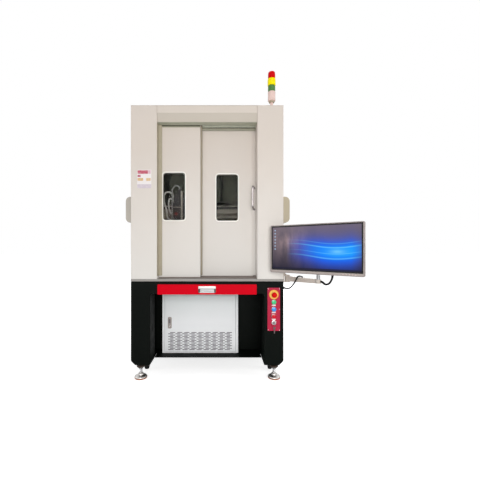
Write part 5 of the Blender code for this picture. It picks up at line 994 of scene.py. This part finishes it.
ring = turned("button_ring", (BUTTON_X, PLATE_FACE, BUTTON_TOP_Z),
              [(0.0118, 0), (0.0183, 0), (0.0183, 0.0034), (0.0174, 0.0050), (0.0160, 0.0056),
               (0.0118, 0.0054)], OUT, 48, bored=True)
repeat(settle(ring, "machine_frame", "pull_steel", "chrome"), down)
cap = turned("button_cap", (BUTTON_X, 0, BUTTON_TOP_Z),
             [(0.0100, 0.0121), (0.0156, 0.0121), (0.0160, 0.0140), (0.0154, 0.0158), (0.0115, 0.0172),
              (0.0050, 0.0178)], OUT, 48)
repeat(settle(cap, "green_button", "lens_green", "green_lens"), down, ["blue_button", "red_button"],
       [("lens_blue", "blue_plastic"), ("lens_red", "red_lens")])
tag = slab("button_tag", (0.4655, -0.0041, 0.5375), (0.4925, -0.0032, 0.5475))
rounded(tag, 0.0016, runs("y"))
rounded(tag, 0.0002, rim(-0.0040), 1)
repeat(settle(tag, "machine_frame", "tag_plastic", "white_plastic"), down)
print("push buttons", 1 + len(down))

# %% [markdown]
# ## Key switch
# The key switch has a polished ring too, and inside it the round core that turns with the key. Its
# middle is stepped in where the key goes.

# %% Key switch
KEY_Z = 0.418

lock_ring = turned("key_switch_ring", (BUTTON_X, PLATE_FACE, KEY_Z),
                   [(0.0104, 0), (0.0172, 0), (0.0172, 0.0036), (0.0160, 0.0054), (0.0138, 0.0062),
                    (0.0104, 0.0056)], OUT, 48, bored=True)
settle(lock_ring, "machine_frame", "chrome_plate", "chrome")
core = turned("key_core", (BUTTON_X, 0, KEY_Z),
              [(0.0094, 0.0086), (0.0098, 0.0092), (0.0092, 0.0102), (0.0042, 0.0102), (0.0036, 0.0096)],
              OUT, 36)
settle(core, "key", "satin_steel", "chrome")
print("key switch at", KEY_Z)

# %% [markdown]
# ## Emergency stop
# The stop is a red mushroom on a yellow plate. The head is turned, and its grip is made by pushing in every
# second face of its rim. An orange bead runs round the edge of the yellow plate.

# %% Emergency stop
STOP_Z = 0.620
STOP_SIDES = 48
GRIP_PITCH = 2 * 360 / STOP_SIDES  # a raised and a sunk face, in degrees

moulded("stop_orange", (232, 120, 36), 0.4, 0.04, 0.08)
moulded("stop_red", (222, 8, 8), 0.3, 0.02, 0.10, 0.0, 0.08)
mushroom = turned("stop_mushroom", (BUTTON_X, 0, STOP_Z),
                  [(0.0100, -0.0060), (0.0100, 0.0200), (0.0160, 0.0222), (0.0182, 0.0262),
                   (0.0188, 0.0290), (0.0188, 0.0372), (0.0180, 0.0410), (0.0158, 0.0436),
                   (0.0147, 0.0441), (0.0142, 0.0434), (0.0105, 0.0434), (0.0045, 0.0442)],
                  OUT, STOP_SIDES)


def on_grip(place, way):
    turn = math.degrees(math.atan2(place.z - STOP_Z, place.x - BUTTON_X)) % GRIP_PITCH
    return -0.037 < place.y < -0.029 and abs(way.y) < 0.2 and turn < GRIP_PITCH / 2


pick(mushroom, "FACE", on_grip)
bpy.ops.mesh.inset(thickness=0.0006, use_individual=True)
bpy.ops.mesh.extrude_region_shrink_fatten(TRANSFORM_OT_shrink_fatten={"value": -0.0008})
settle(mushroom, "estop", "stop_red", "red_lens")
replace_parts(mushroom, "estop_head")
bead = turned("stop_bead", (BUTTON_X, -0.0036, STOP_Z),
              [(0.0318, 0), (0.0352, 0), (0.0352, 0.0040), (0.0344, 0.0048), (0.0326, 0.0048),
               (0.0318, 0.0042)], OUT, 64, bored=True)
settle(bead, "machine_frame", "stop_orange", "yellow_lens")
print("emergency stop", len(mushroom.data.polygons), "faces")

# %% [markdown]
# ## Drawer pull
# The pull is a cup with a flap over the top of its mouth. The flap is a slab with the edges of its front
# rounded, and two dark cheeks close the sides of the cup.

# %% Drawer pull
CHEEK_SPACING = 0.1138

bar("pull_flap", (-0.0612, -0.0202, 0.6625), (0.0612, -0.0164, 0.6800), 0.0016,
    rim(-0.0200), 4, "satin_nickel", "chrome", "drawer")
cheek = bar("pull_cheek", (-0.0618, -0.0176, 0.6345), (-0.0520, -0.0162, 0.6622), 0.0006,
            rim(-0.0175), 2, "black_plastic", "dark_metal", "drawer")
repeat(cheek, [(CHEEK_SPACING, 0, 0)])
print("drawer pull cheeks", CHEEK_SPACING, "m apart")

# %% [markdown]
# ## Levelling feet
# Each foot is a satin dome on a rubber pad with a brown rim. A threaded stem carries it, with a lock nut
# and a dark cup under the leg. The thread is one turned profile with a groove every two millimetres.

# %% Levelling feet
FOOT_X, FRONT_FOOT_Y, REAR_FOOT_Y = 0.490, 0.050, 1.100
THREAD_RINGS, THREAD_PITCH = 24, 0.0022

moulded("brown_rubber", (176, 98, 52), 0.6, 0.12, 0.15)
moulded("dark_brown", (66, 52, 44), 0.5, 0.1, 0.15)
thread = [(0.0094, 0.0400)]
for number in range(THREAD_RINGS):
    climb = THREAD_PITCH * number
    thread += [(0.0104, 0.0410 + climb), (0.0094, 0.0421 + climb)]
FOOT_PARTS = {  # radii and heights, sides, finish, slot, shading angle
    "foot_pad": ([(0.0430, 0.0001), (0.0450, 0.0020), (0.0454, 0.0070), (0.0440, 0.0085)],
                 56, "brown_rubber", "black_rubber", 35),
    "foot_dome": ([(0.0430, 0.0080), (0.0452, 0.0090), (0.0454, 0.0116), (0.0435, 0.0150),
                   (0.0405, 0.0172), (0.0395, 0.0168), (0.0340, 0.0206), (0.0270, 0.0238),
                   (0.0215, 0.0252), (0.0205, 0.0300), (0.0190, 0.0340), (0.0150, 0.0362),
                   (0.0125, 0.0366), (0.0120, 0.0420), (0.0100, 0.0430)],
                  56, "satin_nickel", "chrome", 40),
    "foot_stem": (thread + [(0.0094, 0.0945)], 28, "chrome_plate", "chrome", 60),
    "foot_nut": ([(0.0170, 0.0700), (0.0184, 0.0710), (0.0184, 0.0790), (0.0170, 0.0800)],
                 6, "brushed_steel", "steel", 20),
    "foot_cup": ([(0.0190, 0.0800), (0.0270, 0.0820), (0.0300, 0.0870), (0.0300, 0.0949)],
                 40, "dark_brown", "dark_metal", 35),
}
feet = {}
for name, (steps, sides, finish, slot, angle) in FOOT_PARTS.items():
    part = turned(name, (-FOOT_X, FRONT_FOOT_Y, 0), steps, sides=sides)
    feet[name] = settle(part, "machine_frame", finish, slot, angle)
across_feet, back_feet = 2 * FOOT_X, REAR_FOOT_Y - FRONT_FOOT_Y
for part in feet.values():
    repeat(part, [(across_feet, 0, 0), (0, back_feet, 0), (across_feet, back_feet, 0)])
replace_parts(feet["foot_dome"], *["levelling_foot_" + corner for corner in CORNERS])
print("foot parts", len(feet), "thread rings", THREAD_RINGS)

# %% [markdown]
# ## Casters
# Behind each foot a small caster waits for the feet to be wound up. Its wheel gets a steel hub with a domed
# cap on each side, which turns with the wheel.

# %% Casters
HUB_INSET = 0.0012
HUB_STEPS = [(0.0190, 0), (0.0190, 0.0014), (0.0165, 0.0022), (0.0100, 0.0022), (0.0085, 0.0030),
             (0.0030, 0.0034)]

wheels = [[Vector(end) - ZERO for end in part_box("caster_wheel_" + corner)] for corner in CORNERS]
axles = [(low + high) / 2 for low, high in wheels]
low, high = wheels[0]
hubs = []
for name, x, side in (("wheel_hub", low.x + HUB_INSET, -1), ("wheel_hub_right", high.x - HUB_INSET, 1)):
    hub = turned(name, (x, axles[0].y, axles[0].z), HUB_STEPS, (side, 0, 0), 32)
    hubs.append(settle(hub, "wheel_front_left", "satin_nickel", "steel"))
moves = [tuple(axle - axles[0]) for axle in axles[1:]]
for hub in hubs:
    repeat(hub, moves, ["wheel_" + corner for corner in CORNERS[1:]])
print("wheel hubs", 2 * len(wheels))

# %% [markdown]
# ## Signal tower
# The lenses of a signal tower are ribbed so that they glow evenly. Each is turned from a profile with a
# rib every six millimetres, and the red one ends in a low dome. A collar closes the foot of the tower,
# and two thin bands mark its lower part.

# %% Signal tower
TOWER_X, TOWER_Y = 0.475, 0.065
RIB_PITCH = 0.0060
DOME_STEPS, DOME_TURN = 5, 18  # degrees for each step


def lens_shell(name, radius, low, high, finish, dome=0.0025):
    """A ribbed lens."""
    height = low + 0.0012
    profile = [(radius - 0.0030, low), (radius - 0.0006, height)]
    while height + 0.0075 < high - dome:
        profile += [(radius + 0.0002, height + 0.0020), (radius + 0.0002, height + 0.0040),
                    (radius - 0.0008, height + RIB_PITCH)]
        height += RIB_PITCH
    for number in range(1, DOME_STEPS + 1):
        angle = math.radians(DOME_TURN * number)
        profile.append((radius * (0.30 + 0.70 * math.cos(angle)), high - dome + dome * math.sin(angle)))
    shell = turned(name, (TOWER_X, TOWER_Y, 0), profile, sides=48)
    return settle(shell, "machine_frame", finish, finish, 50)


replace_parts(lens_shell("lens_shell_green", 0.0265, 2.1088, 2.1548, "green_lens"), "tower_lens_green")
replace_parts(lens_shell("lens_shell_yellow", 0.0292, 2.1548, 2.2058, "yellow_lens"), "tower_lens_yellow")
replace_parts(lens_shell("lens_shell_red", 0.0262, 2.2058, 2.2590, "red_lens", 0.011), "tower_lens_red")
collar = turned("tower_collar", (TOWER_X, TOWER_Y, 0),
                [(0.0112, 2.0300), (0.0190, 2.0310), (0.0200, 2.0330), (0.0200, 2.0375), (0.0185, 2.0398),
                 (0.0112, 2.0400)], bored=True)
settle(collar, "machine_frame", "beige_enamel", "beige_paint")
for height in (2.0470, 2.1030):
    band = turned(f"tower_band_{round(height * 1000)}", (TOWER_X, TOWER_Y, height),
                  [(0.0268, 0), (0.0280, 0.0004), (0.0280, 0.0022), (0.0268, 0.0026)], sides=48)
    settle(band, "machine_frame", "white_plastic", "white_plastic")
print("tower ribs every", RIB_PITCH, "m")

# %% [markdown]
# ## Information label
# A small label is stuck on the left pillar. It is a thin slab with round corners, and its picture is plain
# fields of colour set by place: crimson, amber, rose and pale grey on near white.

# %% Information label
LABEL_MIDDLE = ZERO.x - 0.4525
FIELDS = [  # left and right of the middle, low and high, colour
    (-0.050, 0.050, 1.3840, 1.4130, (202, 190, 200)), (-0.048, -0.008, 1.4370, 1.4570, (206, 166, 104)),
    (0.014, 0.046, 1.4370, 1.4570, (212, 178, 128)), (-0.048, -0.026, 1.4640, 1.4800, (176, 84, 112)),
    (-0.048, 0.026, 1.4880, 1.5130, (182, 60, 90)), (0.026, 0.046, 1.4880, 1.5130, (212, 170, 184)),
]
printed = Recipe("label_print")
sideways, _, height = printed.parted()
field = chart(232, 226, 226)
for left, right, low, high, colour in FIELDS:
    inside = printed.product(printed.within(height, low, high),
                             printed.within(sideways, LABEL_MIDDLE + left, LABEL_MIDDLE + right))
    field = printed.blend(inside, field, chart(*colour))
rubbed = printed.spread(printed.noise(60, 4, 0.6), 0.45, 0.72, 0, 0.45)
printed.set(Base_Color=printed.blend(rubbed, field, chart(228, 222, 218)),
            Roughness=printed.spread(printed.noise(40, 3), 0.3, 0.7, 0.35, 0.5))
bar("pillar_label", (-0.5030, -0.0007, 1.3840), (-0.4020, 0.0002, 1.5170), 0.0050,
    runs("y"), 4, "label_print", "white_plastic")
print("label fields", len(FIELDS))

# %% [markdown]
# ## Monitor trim
# The monitor is turned to the operator, so its pieces are modelled square to the axes, round the post, and
# then carried to the post and turned as one. A black border frames the picture, five touch keys sit on the
# chin, and vent slots run along the back.

# %% Monitor trim
POST = Vector((0.732, -0.2055, 0))
TOUCH_KEYS, KEY_SPACING = 5, 0.018
VENT_ROWS, VENT_COLUMNS, VENT_ACROSS, VENT_DOWN = 3, 9, 0.054, -0.007

to_monitor = (Matrix.Translation(at(*POST)) @ Matrix.Rotation(SCREEN_YAW, 4, "Z")
              @ Matrix.Translation(-ZERO))


def on_monitor(piece, finish, slot):
    """Carries a piece modelled round the origin to the turned monitor."""
    if piece.mode == "EDIT":
        bpy.ops.object.mode_set(mode="OBJECT")
    piece.data.transform(to_monitor)
    return settle(piece, "monitor", finish, slot)


border = framed("screen_border", (-0.3135, -0.0457, 0.8035), (0.2775, -0.0449, 1.1045), 0.0085, 0.003)
on_monitor(border, "black_plastic", "dark_metal")
moulded("rim_plastic", (150, 138, 138), 0.32, 0.03, 0.14)
edge = framed("monitor_edge", (-0.3212, -0.0470, 0.7848), (0.2852, -0.0448, 1.1102), 0.0030, 0.008)
on_monitor(rounded(edge, 0.0008, rim(-0.0469), 2), "rim_plastic", "silver_plastic")
for number in range(TOUCH_KEYS):
    key = turned(f"touch_key_{number + 1}", (0.165 + KEY_SPACING * number, -0.0449, 0.7945),
                 [(0.0028, 0), (0.0028, 0.0006), (0.0018, 0.0010)], OUT, 18)
    on_monitor(key, "white_plastic", "white_plastic")
vent = slab("monitor_vent", (-0.250, -0.0212, 1.0750), (-0.210, -0.0203, 1.0775))
on_monitor(rounded(vent, 0.0011, runs("y")), "black_plastic", "dark_metal")
aside = Matrix.Rotation(SCREEN_YAW, 3, "Z") @ Vector((VENT_ACROSS, 0, 0))
below = Vector((0, 0, VENT_DOWN))
repeat(vent, [tuple(aside * column + below * row) for row in range(VENT_ROWS)
              for column in range(VENT_COLUMNS) if row or column])
print("monitor vents", VENT_ROWS * VENT_COLUMNS)

# %% [markdown]
# ## Cables
# Two short cables stay with the machine: one leaves the frame and follows the arm, one drops from the arm
# to the monitor. A cable thickens into a short boot where it enters a housing.

# %% Cables
moulded("cable_rubber", (10, 10, 10), 0.5, 0.1, 0.2, 0.0, 0.1)


def cable(name, route, radius, sizes):
    """A rubber cable along its route; sizes thicken its ends into boots."""
    lead = tube(name, route, radius, sizes)
    lead.data.materials.clear()
    lead.data.materials.append(finishes["cable_rubber"])
    bpy.ops.object.shade_smooth_by_angle(angle=math.radians(60))
    return lead


arm_route = [(0.5584, 0.0480, 0.6610), (0.5690, 0.0480, 0.6610), (0.5780, 0.0300, 0.6570),
             (0.5880, -0.0050, 0.6630), (0.6000, -0.0350, 0.6810), (0.6130, -0.0600, 0.7100),
             (0.6224, -0.0705, 0.7350), (0.6300, -0.0775, 0.7565), (0.6444, -0.0803, 0.7610),
             (0.6618, -0.0930, 0.7545)]
arm_lead = cable("arm_lead", arm_route, 0.0047, [1.5, 1.3, 1, 1, 1, 1, 1, 1, 1, 1])
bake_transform(arm_lead)
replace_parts(arm_lead, "arm_cable")
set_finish(arm_lead, "black_rubber")

drop = [(0.0118, -0.0157, 0.7370), (0.0184, -0.0245, 0.7370), (0.0300, -0.0375, 0.7200),
        (0.0510, -0.0515, 0.7260), (0.0655, -0.0630, 0.7570), (0.0681, -0.0657, 0.7850),
        (0.0681, -0.0657, 0.7997)]
monitor_route = [tuple(POST + Vector(point)) for point in drop]
monitor_lead = cable("monitor_lead", monitor_route, 0.0058, [1.3, 1.3, 1.1, 1, 1, 1.25, 1.5])
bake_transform(monitor_lead)
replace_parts(monitor_lead, "monitor_cable")
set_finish(monitor_lead, "black_rubber")

gland = turned("cable_gland_nut", (0.5560, 0.0480, 0.6610),
               [(0.0048, 0), (0.0105, 0.0004), (0.0105, 0.0060), (0.0085, 0.0068), (0.0048, 0.0070)],
               (1, 0, 0), 6)
settle(gland, "machine_frame", "black_plastic", "dark_metal", 20)
print("cables", len(arm_route), "and", len(monitor_route), "points")

# %% [markdown]
# ## Fixings on the back, top and sides
# Sheet panels are screwed on. The same screw is repeated in three lines up the rear panel, along the edges
# of the roof and on the two side covers. The front right corner of the roof is left to the signal tower.

# %% Fixings on the back, top and sides
REAR = 1.1500
PANEL_X, PANEL_FOOT, PANEL_PITCH, PANEL_ROWS = 0.5300, 0.7600, 0.2400, 6
ROOF_Z, ROOF_FRONT, ROOF_STEP_X, ROOF_STEP_Y = 1.9820, 0.0300, 0.265, 0.3633
COVER_FACE, COVER_FRONT, COVER_SCREW_Z, COVER_PITCH = 0.6150, 0.1300, 1.2420, 0.340

back_screw = screw("rear_screw", (-PANEL_X, REAR, PANEL_FOOT), (0, 1, 0), "brushed_steel", "steel", 0.0050)
repeat(back_screw, [(x, 0, PANEL_PITCH * row) for x in (0, PANEL_X, 2 * PANEL_X)
                    for row in range(PANEL_ROWS) if x or row])
top_screw = screw("roof_screw", (-PANEL_X, ROOF_FRONT, ROOF_Z), (0, 0, 1), "brushed_steel", "steel", 0.0045)
repeat(top_screw, [(ROOF_STEP_X * i, ROOF_STEP_Y * j, 0) for i in range(5) for j in range(4)
                   if (i in (0, 4) or j in (0, 3)) and (i, j) not in ((0, 0), (4, 0))])
for name, side in (("cover_screw", -1), ("cover_screw_right", 1)):
    side_screw = screw(name, (side * COVER_FACE, COVER_FRONT, COVER_SCREW_Z), (side, 0, 0),
                       "brushed_steel", "steel")
    repeat(side_screw, [(0, COVER_PITCH, 0), (0, 2 * COVER_PITCH, 0)])
print("rear screws", 3 * PANEL_ROWS)

# %% [markdown]
# ## Vent hoods
# Over each vent slot of the rear panel sits a small hood, so that dust falls past the slot. It is a slab
# whose upper outer edge is pushed back to the sheet, and its underside is inset and opened.

# %% Vent hoods
HOOD_COLUMNS, HOOD_ROWS, HOOD_ACROSS, HOOD_UP = 2, 8, 0.200, 0.028

hood = slab("vent_hood", (-0.1570, REAR - 0.0001, 1.5990), (-0.0430, REAR + 0.0060, 1.6150))
pick(hood, "EDGE", runs("x", lambda place: place.y > REAR and place.z > 1.61))
bpy.ops.transform.translate(value=(0, -0.0052, 0))
pick(hood, "FACE", lambda place, way: way.z < -0.9)
bpy.ops.mesh.inset(thickness=0.0009)
bpy.ops.mesh.extrude_region_move(TRANSFORM_OT_translate={"value": (0, -0.0012, 0.0050)})
settle(hood, "machine_frame", "cream_enamel", "cream_paint", 20)
repeat(hood, [(HOOD_ACROSS * column, 0, HOOD_UP * row) for column in range(HOOD_COLUMNS)
              for row in range(HOOD_ROWS) if column or row])
print("vent hoods", HOOD_COLUMNS * HOOD_ROWS)
